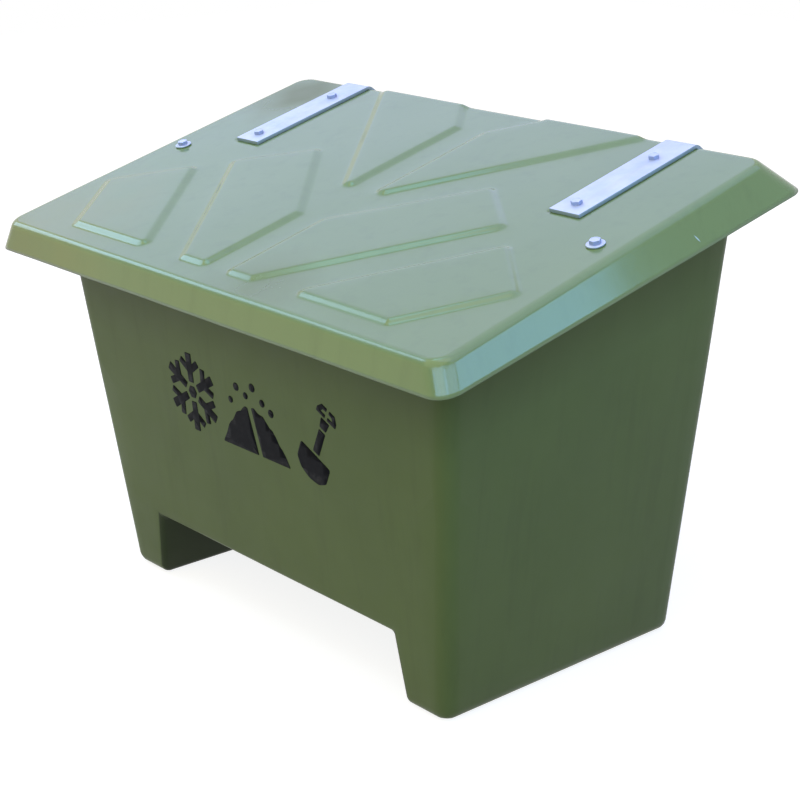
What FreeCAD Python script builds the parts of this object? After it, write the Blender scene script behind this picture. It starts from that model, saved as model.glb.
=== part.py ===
import FreeCAD, Part
import os
import Sketcher
from FreeCAD import Placement, Rotation, Vector

# A grit bin of glass-fibre laminate: a tapered tub on two hollow feet, with a fork channel
# between them, and a sloping lid on two strap hinges. Millimetres, +Z up, front towards -Y,
# origin on the ground under the middle of the whole bin.

# Driving sizes. Angles are in degrees.
SIZES = {
    # tub
    "tub_width": 696.0,
    "tub_depth": 425.0,
    "tub_front": -188.6,
    "side_draft": 6.3,
    "front_draft": 6.3,
    "rear_draft": 1.2,
    "tub_wall": 5.0,
    "tub_corner": 23.0,
    "foot_round": 8.0,
    "channel_height": 100.0,
    "channel_width": 515.0,
    "channel_lean": 8.2,
    "channel_round": 10.0,
    "rim_thick": 5.0,
    "rim_corner": 24.0,
    "rim_gap": 11.0,
    # lid, measured along and square to its own slope; how far it reaches beyond the tub's foot
    "lid_reach": 119.3,
    "lid_side_reach": 111.0,
    "lid_slope": 15.3,
    "lid_front_height": 524.0,
    "lid_wall": 4.0,
    "lid_corner": 20.0,
    "lid_edge_round": 8.0,
    "skirt_front": 36.5,
    "skirt_rear": 52.5,
    "flare_front": 16.0,
    "flare_side": 20.0,
    "flare_rear": 42.0,
    "skirt_cover": 10.0,
    # raised panels of the lid, right half, as outlines on the lid's top face
    "panel_rise": 4.6,
    "panel_bevel": 8.0,
    "panel_front": 36.0,
    "panel_over": 2.0,
    "mid_inner": 20.0,
    "mid_shoulder": 206.0,
    "mid_peak_in": 177.0,
    "mid_peak_back": 372.0,
    "mid_tip_lap": 5.5,
    "mid_tip_short": 31.0,
    "mid_foot": 76.0,
    "outer_foot_length": 188.0,
    "outer_foot_inset": 124.0,
    "outer_tip_inset": 28.0,
    "outer_tip_back": 162.0,
    "outer_peak_inset": 137.0,
    "outer_peak_back": 254.0,
    "rear_inner": 22.0,
    "rear_near": 290.0,
    "rear_shoulder_short": 67.0,
    "rear_cut": 80.0,
    "rear_land_gap": 8.5,
    "rear_foot": 42.0,
    # recessed lands under the hinge straps
    "land_width": 85.0,
    "land_before": 28.0,
    "land_sink": 1.5,
    "land_run": 3.0,
    "land_backing": 3.0,
    # strap hinges
    "strap_inset": 136.0,
    "strap_width": 50.0,
    "strap_thick": 5.0,
    "strap_on_top": 224.0,
    "strap_bolt_inset": 24.0,
    "strap_bolt_pitch": 145.0,
    "pin_out": 66.86,
    "pin_dia": 10.0,
    "pin_play": 0.2,
    "pin_beyond": 14.0,
    "pin_head_dia": 16.0,
    "pin_head_thick": 4.0,
    "pin_head_bevel": 1.0,
    "pin_washer_dia": 20.0,
    "pin_washer_thick": 2.0,
    "pin_tail": 8.0,
    "split_pin_dia": 2.6,
    "split_pin_reach": 9.0,
    "split_pin_eye": 4.0,
    "split_pin_thick": 2.0,
    "knuckle_width": 24.0,
    "knuckle_gap": 1.0,
    "notch_gap": 1.5,
    "leaf_rise": 30.0,
    "leaf_tail": 92.0,
    "leaf_round": 6.0,
    "leaf_bolt_inset": 20.0,
    "leaf_bolt_pitch": 45.0,
    # fasteners and buffers
    "bolt_dia": 8.0,
    "bolt_length": 25.0,
    "side_bolt_length": 20.0,
    "bolt_hole_play": 0.5,
    "thread_play": 0.1,
    "head_across": 13.0,
    "head_thick": 5.3,
    "nut_thick": 6.5,
    "washer_dia": 24.0,
    "washer_thick": 2.0,
    "washer_bore": 8.6,
    "side_bolt_inset": 39.0,
    "side_bolt_back": 296.0,
    "buffer_dia": 30.0,
    "buffer_bevel": 1.0,
    "buffer_seat": 0.7,
    "buffer_hole_depth": 18.0,
}

# Values worked out from the driving sizes, as formulas of the same sheet.
DERIVED = {
    "rear_wall_y": "tub_front + tub_depth",
    "lid_front_y": "tub_front - lid_reach",
    "rear_lean": "flare_rear / skirt_rear",
    "slope_bend": "atan(skirt_rear / flare_rear) / 1 deg",
    "slope_length": "sqrt(skirt_rear ^ 2 + flare_rear ^ 2)",
    "eye_inner": "pin_dia / 2 + pin_play",
    "eye_outer": "eye_inner + strap_thick",
    "strap_run": "slope_length + pin_beyond",
    "pin_w": "-land_sink - strap_run * sin(slope_bend) - eye_inner * cos(slope_bend)",
    "pin_y": "rear_wall_y + pin_out",
    "pin_v": "(pin_y - lid_front_y + pin_w * sin(lid_slope)) / cos(lid_slope)",
    "land_corner": "pin_v - strap_run * cos(slope_bend) + eye_inner * sin(slope_bend)",
    "lid_depth": "land_corner + land_sink * tan(slope_bend / 2)",
    "pin_z": "lid_front_height + pin_v * sin(lid_slope) + pin_w * cos(lid_slope)",
    "lid_width": "tub_width + 2 * lid_side_reach",
    "strap_centre": "lid_width / 2 - strap_inset",
    "strap_front": "lid_depth - strap_on_top",
    "land_front": "strap_front - land_before",
    "side_bolt_centre": "lid_width / 2 - side_bolt_inset",
    "rim_tilt": "atan((skirt_rear - skirt_front) / (lid_depth + flare_front + flare_rear)) / 1 deg",
    "rim_slope": "lid_slope - rim_tilt",
    "skirt_drop": "skirt_front + flare_front * tan(rim_tilt)",
    "skirt_mean": "(skirt_front + skirt_rear) / 2",
    "reach": "lid_width + lid_depth",
    "form_top": "lid_front_height + lid_depth * sin(lid_slope)",
    "front_lean": "flare_front / skirt_front",
    "side_lean": "flare_side / skirt_mean",
    "front_stretch": "sqrt(1 + front_lean ^ 2)",
    "side_stretch": "sqrt(1 + side_lean ^ 2)",
    "rear_stretch": "sqrt(1 + rear_lean ^ 2)",
    "rim_drop": "skirt_drop - skirt_cover",
    "rim_y": "lid_front_y + rim_drop * sin(lid_slope)",
    "rim_z": "lid_front_height - rim_drop * cos(lid_slope)",
    "rim_half": "lid_width / 2 + rim_drop * side_lean - lid_wall * side_stretch - rim_gap",
    "rim_near": "lid_wall * front_stretch - rim_drop * front_lean + rim_gap",
    "rim_far": "lid_depth + flare_rear - skirt_cover * rear_lean - lid_wall * rear_stretch - rim_gap",
    "leaf_bend": "90 - rear_draft - leaf_rise",
    "leaf_gap": "pin_y + eye_inner * sin(leaf_rise) - rear_wall_y"
                " - (pin_z - eye_inner * cos(leaf_rise)) * tan(rear_draft)",
    "leaf_arm": "leaf_gap / (cos(leaf_rise) - sin(leaf_rise) * tan(rear_draft))",
    "bend_z": "pin_z - eye_inner * cos(leaf_rise) - leaf_arm * sin(leaf_rise)",
    "buffer_height": "rim_drop + side_bolt_back * tan(rim_tilt) - lid_wall - buffer_seat",
    "bolt_hole": "bolt_dia / 2 + bolt_hole_play",
    "panel_past": "lid_depth + panel_over + 2 * panel_bevel",
    "mid_tip_in": "strap_centre - land_width / 2 + mid_tip_lap",
    "mid_tip_back": "land_front - mid_tip_short",
    "outer_foot_far": "lid_width / 2 - outer_foot_inset",
    "outer_foot_near": "outer_foot_far - outer_foot_length",
    "outer_tip_in": "lid_width / 2 - outer_tip_inset",
    "outer_peak_in": "lid_width / 2 - outer_peak_inset",
    "rear_shoulder": "lid_depth - rear_shoulder_short",
    "rear_end": "strap_centre - land_width / 2 - rear_land_gap",
}

document = FreeCAD.newDocument("GritBin")
sheet = document.addObject("Spreadsheet::Sheet", "Sizes")


def fill_sheet():
    row = 0
    for name, value in list(SIZES.items()) + list(DERIVED.items()):
        row += 1
        text = str(value) if isinstance(value, float) else "=" + value
        sheet.set(f"A{row}", name)
        sheet.set(f"B{row}", text)
        sheet.setAlias(f"B{row}", name)
    document.recompute()


fill_sheet()


def cell(text):
    """Write a formula of sheet names as an expression for another object."""
    words = []
    word = ""
    for letter in text + " ":
        if letter.isalnum() or letter == "_":
            word += letter
            continue
        known = word in SIZES or word in DERIVED
        words.append("Sizes." + word if known else word)
        words.append(letter)
        word = ""
    return "".join(words).strip()


def value_of(text):
    return float(sheet.evalExpression(cell(text)))


# Two points closer than this are taken as one, when edges are chosen.
NEAR = 0.01

# Frames: a body in the lid's frame has X across, Y up the slope and Z square to the lid's top.
GROUND = ("0", "0", "0", "0")
LID = ("0", "lid_front_y", "lid_front_height", "lid_slope")
RIM = ("0", "rim_y", "rim_z", "rim_slope")


def in_lid(across, back, up):
    """The frame of a point on the lid, square to the lid."""
    y = f"lid_front_y + ({back}) * cos(lid_slope) - ({up}) * sin(lid_slope)"
    z = f"lid_front_height + ({back}) * sin(lid_slope) + ({up}) * cos(lid_slope)"
    return (across, y, z, "lid_slope")


def on_rear_wall(across, height, out, turn):
    """The frame of a point at a height on the rear wall, with Z along the wall's normal."""
    y = f"rear_wall_y + ({height}) * tan(rear_draft) + ({out}) * cos(rear_draft)"
    z = f"{height} - ({out}) * sin(rear_draft)"
    return (across, y, z, turn)


def place(thing, frame):
    """Put a thing at a frame: a point, and an angle by which it is turned about X."""
    x, y, z, angle = frame
    turn = Rotation(Vector(1, 0, 0), value_of(angle))
    thing.Placement = Placement(Vector(value_of(x), value_of(y), value_of(z)), turn)
    thing.setExpression("Placement.Base.x", cell(x))
    thing.setExpression("Placement.Base.y", cell(y))
    thing.setExpression("Placement.Base.z", cell(z))
    if angle != "0":
        thing.setExpression("Placement.Rotation.Angle", cell(angle))
    return thing


def new_body(label, frame=GROUND):
    body = document.addObject("PartDesign::Body", "Body")
    body.Label = label
    return place(body, frame)


def new_sketch(body, plane, offset):
    """A sketch on one of a body's own planes, or at a distance from it."""
    sketch = body.newObject("Sketcher::SketchObject", "Sketch")
    origin = [o for o in body.Origin.OriginFeatures if o.Role == plane][0]
    sketch.AttachmentSupport = [(origin, "")]
    sketch.MapMode = "FlatFace"
    sketch.AttachmentOffset = Placement(Vector(0, 0, value_of(offset)), Rotation())
    sketch.setExpression("AttachmentOffset.Base.z", cell(offset))
    return sketch


def bind(sketch, kind, geometry, point, formula):
    """Tie one coordinate of a sketch point to a formula."""
    rule = Sketcher.Constraint(kind, -1, 1, geometry, point, value_of(formula))
    number = sketch.addConstraint(rule)
    sketch.setExpression(f"Constraints[{number}]", cell(formula))


def polygon(body, plane, points, offset="0"):
    """A closed outline whose corners are formulas of the sheet."""
    sketch = new_sketch(body, plane, offset)
    corners = [Vector(value_of(x), value_of(y), 0) for x, y in points]
    count = len(corners)
    for i in range(count):
        sketch.addGeometry(Part.LineSegment(corners[i], corners[(i + 1) % count]), False)
    for i in range(count):
        sketch.addConstraint(Sketcher.Constraint("Coincident", i, 2, (i + 1) % count, 1))
    for i, (x, y) in enumerate(points):
        bind(sketch, "DistanceX", i, 1, x)
        bind(sketch, "DistanceY", i, 1, y)
    return sketch


def circle(body, plane, centre, radius, offset="0"):
    sketch = new_sketch(body, plane, offset)
    x, y = centre
    middle = Vector(value_of(x), value_of(y), 0)
    sketch.addGeometry(Part.Circle(middle, Vector(0, 0, 1), value_of(radius)), False)
    bind(sketch, "DistanceX", 0, 3, x)
    bind(sketch, "DistanceY", 0, 3, y)
    number = sketch.addConstraint(Sketcher.Constraint("Radius", 0, value_of(radius)))
    sketch.setExpression(f"Constraints[{number}]", cell(radius))
    return sketch


def rectangle(x_low, x_high, y_low, y_high):
    return [(x_low, y_low), (x_high, y_low), (x_high, y_high), (x_low, y_high)]


def pad(body, sketch, length, midplane=False, reverse=False):
    feature = body.newObject("PartDesign::Pad", "Pad")
    feature.Profile = sketch
    feature.Length = value_of(length)
    feature.setExpression("Length", cell(length))
    feature.Midplane = midplane
    feature.Reversed = reverse
    return feature


def pocket(body, sketch, length, midplane=False, reverse=False):
    """Cut away, and make sure that the cut removes something."""
    document.recompute()
    before = body.Shape.Volume
    feature = body.newObject("PartDesign::Pocket", "Pocket")
    feature.Profile = sketch
    feature.Length = value_of(length)
    feature.setExpression("Length", cell(length))
    feature.Midplane = midplane
    feature.Reversed = reverse
    document.recompute()
    if body.Shape.Volume >= before:
        raise ValueError("a pocket of " + body.Label + " cuts nothing")
    return feature


def tapered_block(label, frame, front_view, side_view):
    """A block with flat faces, given its outline from the front and from the side."""
    body = new_body(label, frame)
    pad(body, polygon(body, "XZ_Plane", front_view), "2 * reach", midplane=True)
    front_top, rear_top = side_view[0], side_view[-1]
    around = [("reach", rear_top[1]), ("reach", "-reach"), ("-reach", "-reach"), ("-reach", front_top[1])]
    pocket(body, polygon(body, "YZ_Plane", side_view + around), "4 * reach", midplane=True)
    return body


def dressed(body, kind, measure, size, chosen):
    """Round or bevel the edges of a body's tip that a test chooses."""
    document.recompute()
    base = body.Tip
    names = [f"Edge{i + 1}" for i, edge in enumerate(base.Shape.Edges) if chosen(edge)]
    feature = body.newObject(kind, "Edges")
    feature.Base = (base, names)
    setattr(feature, measure, value_of(size))
    feature.setExpression(measure, cell(size))
    document.recompute()
    return feature


def rounded(body, radius, chosen):
    return dressed(body, "PartDesign::Fillet", "Radius", radius, chosen)


def bevelled(body, size, chosen):
    return dressed(body, "PartDesign::Chamfer", "Size", size, chosen)


def ends(edge):
    return [edge.valueAt(edge.FirstParameter), edge.valueAt(edge.LastParameter)]


def runs_up(edge):
    low, high = sorted(point.z for point in ends(edge))
    return high - low > edge.Length / 2


def below(height):
    """Choose the edges that lie wholly below a height of the body."""
    return lambda edge: all(point.z < value_of(height) for point in ends(edge))


def at_height(height):
    """Choose the edges that lie at a height of the body."""
    return lambda edge: all(abs(point.z - value_of(height)) < NEAR for point in ends(edge))


def along_x(back, up):
    """Choose the edges that run across the bin at a point of its side view."""
    at = (value_of(back), value_of(up))
    return lambda edge: all(abs(p.y - at[0]) < NEAR and abs(p.z - at[1]) < NEAR for p in ends(edge))


def box(length, depth, height, frame):
    thing = document.addObject("Part::Box", "Box")
    for side, formula in (("Length", length), ("Width", depth), ("Height", height)):
        setattr(thing, side, value_of(formula))
        thing.setExpression(side, cell(formula))
    return place(thing, frame)


def cut(base, tool, label="cut"):
    thing = document.addObject("Part::Cut", "Cut")
    thing.Base = base
    thing.Tool = tool
    thing.Label = label
    return thing


def fuse(things, label="fused"):
    thing = document.addObject("Part::MultiFuse", "Fuse")
    thing.Shapes = things
    thing.Label = label
    return thing


def group(things, label="group"):
    thing = document.addObject("Part::Compound", "Group")
    thing.Links = things
    thing.Label = label
    return thing


def mirrored(source, label="mirrored"):
    """The left-hand twin of a right-hand piece."""
    thing = document.addObject("Part::Mirroring", "Mirror")
    thing.Source = source
    thing.Base = Vector(0, 0, 0)
    thing.Normal = Vector(1, 0, 0)
    thing.Label = label
    return thing


def cylinder(radius, height, frame):
    thing = document.addObject("Part::Cylinder", "Cylinder")
    for side, formula in (("Radius", radius), ("Height", height)):
        setattr(thing, side, value_of(formula))
        thing.setExpression(side, cell(formula))
    return place(thing, frame)


def hexagon(height, frame):
    thing = document.addObject("Part::Prism", "Hexagon")
    thing.Polygon = 6
    thing.Circumradius = value_of("head_across / 2 / cos(30)")
    thing.setExpression("Circumradius", cell("head_across / 2 / cos(30)"))
    thing.Height = value_of(height)
    thing.setExpression("Height", cell(height))
    return place(thing, frame)


# Tub

def tub_half(height, inset):
    return f"(tub_width / 2 + ({height}) * tan(side_draft) - ({inset}) / cos(side_draft))"


def tub_front_at(height, inset):
    return f"tub_front - ({height}) * tan(front_draft) + ({inset}) / cos(front_draft)"


def tub_rear_at(height, inset):
    return f"rear_wall_y + ({height}) * tan(rear_draft) - ({inset}) / cos(rear_draft)"


def channel_profile(body, grow):
    """The fork channel's section, grown by a wall where the tub passes over it."""
    side = f"({grow}) / cos(channel_lean)"
    top = f"channel_height + ({grow})"
    foot = f"channel_width / 2 + channel_height * tan(channel_lean) + {side}"
    head = f"channel_width / 2 - ({grow}) * tan(channel_lean) + {side}"
    points = [(f"-({foot})", "0"), (foot, "0"), (head, top), (f"-({head})", top)]
    return polygon(body, "XZ_Plane", points)


def tub_solid(label, inset, corner):
    """The tapered block of the tub, its channel cut away, as the outside or as the hollow."""
    low, high = tub_half(inset, inset), tub_half("form_top", inset)
    front_view = [("-" + low, inset), (low, inset), (high, "form_top"), ("-" + high, "form_top")]
    side_view = [(tub_front_at("form_top", inset), "form_top"), (tub_front_at(inset, inset), inset),
                 (tub_rear_at(inset, inset), inset), (tub_rear_at("form_top", inset), "form_top")]
    body = tapered_block(label, GROUND, front_view, side_view)
    rounded(body, corner, runs_up)
    pocket(body, channel_profile(body, inset), "2 * reach", midplane=True)
    at_crown = at_height(f"channel_height + ({inset})")
    rounded(body, f"channel_round + ({inset})", lambda e: at_crown(e) and abs(e.tangentAt(0).y) > 0.5)
    return body


def make_tub():
    outside = tub_solid("tub outside", "0", "tub_corner")
    rounded(outside, "foot_round", below("channel_height + foot_round / 2"))
    hollow = tub_solid("tub hollow", "tub_wall", "tub_corner - tub_wall")
    over = box("2 * reach", "2 * reach", "reach", ("-reach", "rim_y - reach * cos(rim_slope)",
                                                   "rim_z - reach * sin(rim_slope)", "rim_slope"))
    flange = new_body("rim flange", RIM)
    outline = rectangle("-rim_half", "rim_half", "rim_near", "rim_far")
    pad(flange, polygon(flange, "XY_Plane", outline), "rim_thick", reverse=True)
    rounded(flange, "rim_corner", runs_up)
    body = fuse([cut(outside, over), flange])
    holes = [cylinder("bolt_hole", "8 * tub_wall", frame) for frame in leaf_bolt_frames("-4 * tub_wall")]
    return cut(cut(body, hollow), group(holes), "tub_shell")


def leaf_bolt_frames(out):
    """Where the bolts of both leaves cross the rear wall, with Z pointing out of the tub."""
    frames = []
    for side in ("-strap_centre", "strap_centre"):
        for step in ("0", "leaf_bolt_pitch"):
            height = f"bend_z - leaf_tail + leaf_bolt_inset + {step}"
            frames.append(on_rear_wall(side, height, out, "-90 - rear_draft"))
    return frames


# Lid

def lid_solid(label, inset, corner, front_low, rear_low):
    """The lid's flared block, as the outside or as the hollow, down to two depths of its skirt."""
    half = f"(lid_width / 2 - ({inset}) * side_stretch)"
    high, low = f"({half} + ({inset}) * side_lean)", f"({half} + reach * side_lean)"
    top = f"-({inset})"
    front_view = [("-" + high, top), ("-" + low, "-reach"), (low, "-reach"), (high, top)]
    side_view = [(lid_front_at(inset, inset), top), (lid_front_at(front_low, inset), f"-({front_low})"),
                 (lid_rear_at(rear_low, inset), f"-({rear_low})"), (lid_rear_at(inset, inset), top)]
    body = tapered_block(label, LID, front_view, side_view)
    rounded(body, corner, runs_up)
    return body


def lid_front_at(depth, inset):
    return f"-({depth}) * front_lean + ({inset}) * front_stretch"


def lid_rear_at(depth, inset):
    return f"lid_depth + ({depth}) * rear_lean - ({inset}) * rear_stretch"


def raised_panel(label, level, points):
    """A panel that stands up from the lid with sloping edges."""
    body = new_body(label, LID)
    feature = pad(body, polygon(body, "XY_Plane", points, level), "panel_rise")
    feature.SideType = "Two sides"
    feature.Length2 = value_of("lid_wall")
    feature.setExpression("Length2", cell("lid_wall"))
    feature.TaperAngle = -value_of("atan(panel_bevel / panel_rise) / 1 deg")
    feature.setExpression("TaperAngle", cell("-atan(panel_bevel / panel_rise) / 1 deg"))
    return body


def rear_line(near_x, far_x, near_y):
    """Where a slanting edge of the rear panel gets to beyond the lid's rear edge."""
    grade = f"({far_x} - {near_x}) / (lid_depth - {near_y})"
    return f"{near_x} + (panel_past - {near_y}) * {grade}"


def panels(level, stop):
    """The three panels of the right half and their twins, at a level of the lid."""
    middle = [("mid_inner", "panel_front"), ("mid_foot", "panel_front"),
              ("mid_tip_in", "mid_tip_back"), ("mid_peak_in", "mid_peak_back"),
              ("mid_inner", "mid_shoulder")]
    outer = [("outer_foot_near", "panel_front"), ("outer_foot_far", "panel_front"),
             ("outer_tip_in", "outer_tip_back"), ("outer_peak_in", "outer_peak_back")]
    rear = [("rear_inner", "rear_near"), ("rear_foot", "rear_near"),
            (rear_line("rear_foot", "rear_end", "rear_near"), "panel_past"),
            (rear_line("rear_inner", "rear_cut", "rear_shoulder"), "panel_past"),
            ("rear_inner", "rear_shoulder")]
    tail = box("lid_width / 2", "panel_past", "reach", in_lid("0", stop, "-reach / 2"))
    right = [raised_panel("middle panel", level, middle), raised_panel("outer panel", level, outer),
             cut(raised_panel("rear panel", level, rear), tail)]
    return right + [mirrored(panel) for panel in right]


def slope_point(along, out):
    """A point beside the lid's rear slope, along it from the land's corner and out from it."""
    back = f"land_corner + ({along}) * cos(slope_bend) + ({out}) * sin(slope_bend)"
    up = f"-land_sink - ({along}) * sin(slope_bend) + ({out}) * cos(slope_bend)"
    return (back, up)


def corner_point(out):
    """The land's corner, moved out by a thickness along the bisector of the bend."""
    return (f"land_corner + ({out}) * tan(slope_bend / 2)", f"-land_sink + ({out})")


def make_land():
    """The sunk strip over the lid's rear edge that a hinge strap lies in."""
    body = new_body("land", LID)
    past = "slope_length + 2 * pin_beyond"
    clear = "2 * strap_thick"
    points = [("land_front", "0"), ("land_front + land_run", "-land_sink"), corner_point("0"),
              slope_point(past, "0"), slope_point(past, clear), corner_point(clear),
              ("land_front", f"-land_sink + {clear}")]
    pad(body, polygon(body, "YZ_Plane", points, "strap_centre"), "land_width", midplane=True)
    rounded(body, "lid_edge_round", along_x(*corner_point("0")))
    return body


def make_backing():
    """The thicker laminate under a strap, for its bolts."""
    body = new_body("backing", LID)
    near = "strap_front"
    far = "strap_front + 2 * strap_bolt_inset + strap_bolt_pitch"
    left = "strap_centre - land_width / 2"
    right = "strap_centre + land_width / 2"
    sketch = polygon(body, "XY_Plane", rectangle(left, right, near, far), "-lid_wall")
    pad(body, sketch, "land_backing", reverse=True)
    rounded(body, "land_backing / 2", below("-lid_wall - land_backing / 2"))
    return body


def make_lid():
    outside = lid_solid("lid outside", "0", "lid_corner", "skirt_front", "skirt_rear")
    rounded(outside, "lid_edge_round", at_height("0"))
    below_rim = "skirt_rear + skirt_cover"
    hollow = lid_solid("lid hollow", "lid_wall", "lid_corner - lid_wall", below_rim, below_rim)
    backing = make_backing()
    raised = panels("0", "lid_depth + panel_over")
    shell = fuse([cut(outside, hollow), backing, mirrored(backing)] + raised)
    land = make_land()
    hollows = panels("-lid_wall", "lid_depth - lid_wall * rear_stretch")
    deep = "-(lid_wall + 2 * land_backing)"
    holes = [cylinder("bolt_hole", f"-2 * {deep}", frame)
             for frame in strap_bolt_frames(deep) + side_bolt_frames(deep)]
    return cut(cut(shell, group(hollows)), group([land, mirrored(land)] + holes), "lid_shell")


def strap_bolt_frames(level):
    """Where the straps' bolts cross the lid, at a level above its top face."""
    near = "strap_front + strap_bolt_inset"
    return [in_lid(side, back, level) for side in ("-strap_centre", "strap_centre")
            for back in (near, near + " + strap_bolt_pitch")]


def side_bolt_frames(level):
    return [in_lid(side, "side_bolt_back", level) for side in ("-side_bolt_centre", "side_bolt_centre")]


# Hinges

def make_strap():
    """A flat bar bent over the lid's rear edge and rolled into an eye round the pin."""
    body = new_body("strap bar", LID)
    points = [("strap_front", "-land_sink"), corner_point("0"), slope_point("strap_run", "0"),
              slope_point("strap_run", "strap_thick"), corner_point("strap_thick"),
              ("strap_front", "-land_sink + strap_thick")]
    pad(body, polygon(body, "YZ_Plane", points, "strap_centre"), "strap_width", midplane=True)
    rounded(body, "lid_edge_round", along_x(*corner_point("0")))
    rounded(body, "lid_edge_round + strap_thick", along_x(*corner_point("strap_thick")))
    pin_at = ("pin_v", "pin_w")
    pad(body, circle(body, "YZ_Plane", pin_at, "eye_outer", "strap_centre"), "strap_width", midplane=True)
    bore = circle(body, "YZ_Plane", pin_at, "eye_inner", "strap_centre")
    pocket(body, bore, "2 * strap_width", midplane=True)
    notch = circle(body, "YZ_Plane", pin_at, "eye_outer + notch_gap", "strap_centre")
    pocket(body, notch, "knuckle_width + 2 * knuckle_gap", midplane=True)
    holes = [cylinder("bolt_hole", "4 * strap_thick", frame) for frame in strap_bolt_frames("-strap_thick")]
    return cut(body, group(holes[2:]), "hinge_strap_right")


def make_leaf():
    """The tub's half of a hinge: a flat bar on the rear wall, bent out to the pin under the rim."""
    body = new_body("leaf bar")
    bend_y = "rear_wall_y + bend_z * tan(rear_draft)"
    tail_z = "bend_z - leaf_tail"
    tail_y = f"rear_wall_y + ({tail_z}) * tan(rear_draft)"
    out_y, out_z = "strap_thick * cos(rear_draft)", "strap_thick * sin(rear_draft)"
    back = "strap_thick * tan(leaf_bend / 2)"
    elbow = (f"{bend_y} + {out_y} - {back} * sin(rear_draft)",
             f"bend_z - {out_z} - {back} * cos(rear_draft)")
    points = [(tail_y, tail_z), (f"{tail_y} + {out_y}", f"{tail_z} - {out_z}"), elbow,
              ("pin_y + eye_outer * sin(leaf_rise)", "pin_z - eye_outer * cos(leaf_rise)"),
              ("pin_y + eye_inner * sin(leaf_rise)", "pin_z - eye_inner * cos(leaf_rise)"),
              (bend_y, "bend_z")]
    pad(body, polygon(body, "YZ_Plane", points, "strap_centre"), "strap_width", midplane=True)
    rounded(body, "leaf_round", along_x(*elbow))
    rounded(body, "leaf_round + strap_thick", along_x(bend_y, "bend_z"))
    pin_at = ("pin_y", "pin_z")
    for side in ("-knuckle_width / 2", "knuckle_width / 2"):
        room = circle(body, "YZ_Plane", pin_at, "eye_outer + notch_gap", f"strap_centre + {side}")
        pocket(body, room, "strap_width", reverse=side.startswith("k"))
    knuckle = circle(body, "YZ_Plane", pin_at, "eye_outer", "strap_centre")
    pad(body, knuckle, "knuckle_width", midplane=True)
    bore = circle(body, "YZ_Plane", pin_at, "eye_inner", "strap_centre")
    pocket(body, bore, "2 * strap_width", midplane=True)
    holes = [cylinder("bolt_hole", "4 * strap_thick", frame) for frame in leaf_bolt_frames("-strap_thick")]
    return cut(body, group(holes[2:]), "hinge_leaf_right")


PIN = ("strap_centre", "pin_y", "pin_z", "0")
SPLIT_AT = "-(strap_width / 2 + pin_play + pin_washer_thick + split_pin_dia / 2 + pin_play)"


def turned(body, points):
    """Turn an outline about the body's X axis."""
    feature = body.newObject("PartDesign::Revolution", "Revolution")
    feature.Profile = polygon(body, "XY_Plane", points)
    axis = [o for o in body.Origin.OriginFeatures if o.Role == "X_Axis"][0]
    feature.ReferenceAxis = (axis, [""])
    feature.Angle = 360
    return body


def make_pin():
    """A headed pin, its head outboard, with a cross hole for the split pin inboard."""
    body = new_body("hinge_pin_right", PIN)
    head = "strap_width / 2 + pin_play"
    end = f"{head} + pin_head_thick"
    tail = f"-({head} + pin_washer_thick + pin_tail)"
    turned(body, [(tail, "0"), (end, "0"), (end, "pin_head_dia / 2"), (head, "pin_head_dia / 2"),
                  (head, "pin_dia / 2"), (tail, "pin_dia / 2")])
    bevelled(body, "pin_head_bevel", lambda e: all(p.x > value_of(end) - NEAR for p in ends(e)))
    cross_hole = circle(body, "XY_Plane", (SPLIT_AT, "0"), "split_pin_dia / 2 + pin_play / 2")
    pocket(body, cross_hole, "2 * pin_dia", midplane=True)
    return body


def make_pin_washer():
    body = new_body("pin washer", PIN)
    near = "-(strap_width / 2 + pin_play / 2)"
    far = f"{near} - pin_washer_thick"
    rim = "pin_washer_dia / 2"
    return turned(body, [(far, "eye_inner"), (near, "eye_inner"), (near, rim), (far, rim)])


def make_split_pin():
    """A split pin through the hinge pin: a straight stem, and an eye rolled from flatter wire."""
    body = new_body("split pin", PIN)
    eye_at = ("0", "split_pin_reach + split_pin_eye")
    eye = circle(body, "YZ_Plane", eye_at, "split_pin_eye", SPLIT_AT)
    pad(body, eye, "split_pin_thick", midplane=True)
    hole = circle(body, "YZ_Plane", eye_at, "split_pin_eye - split_pin_thick", SPLIT_AT)
    pocket(body, hole, "2 * split_pin_thick", midplane=True)
    stem = circle(body, "XY_Plane", (SPLIT_AT, "0"), "split_pin_dia / 2", "-split_pin_reach - pin_dia / 2")
    pad(body, stem, "2 * split_pin_reach + pin_dia / 2 + split_pin_thick / 2")
    return body


# Fasteners and buffers. Each set stands on a level along its own bolts' axes.

def bolts(frames_at, seat, length, label):
    made = []
    for head, tip in zip(frames_at(seat), frames_at(f"{seat} - {length}")):
        made.append(fuse([hexagon("head_thick", head), cylinder("bolt_dia / 2", length, tip)]))
    return group(made, label)


def washers(frames_at, base, label):
    made = []
    for face, deep in zip(frames_at(base), frames_at(f"{base} - washer_thick")):
        bore = cylinder("washer_bore / 2", "3 * washer_thick", deep)
        made.append(cut(cylinder("washer_dia / 2", "washer_thick", face), bore))
    return group(made, label)


def nuts(frames_at, base, label):
    made = []
    for face, deep in zip(frames_at(base), frames_at(f"{base} - nut_thick")):
        bore = cylinder("bolt_dia / 2 + thread_play", "3 * nut_thick", deep)
        made.append(cut(hexagon("nut_thick", face), bore))
    return group(made, label)


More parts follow.
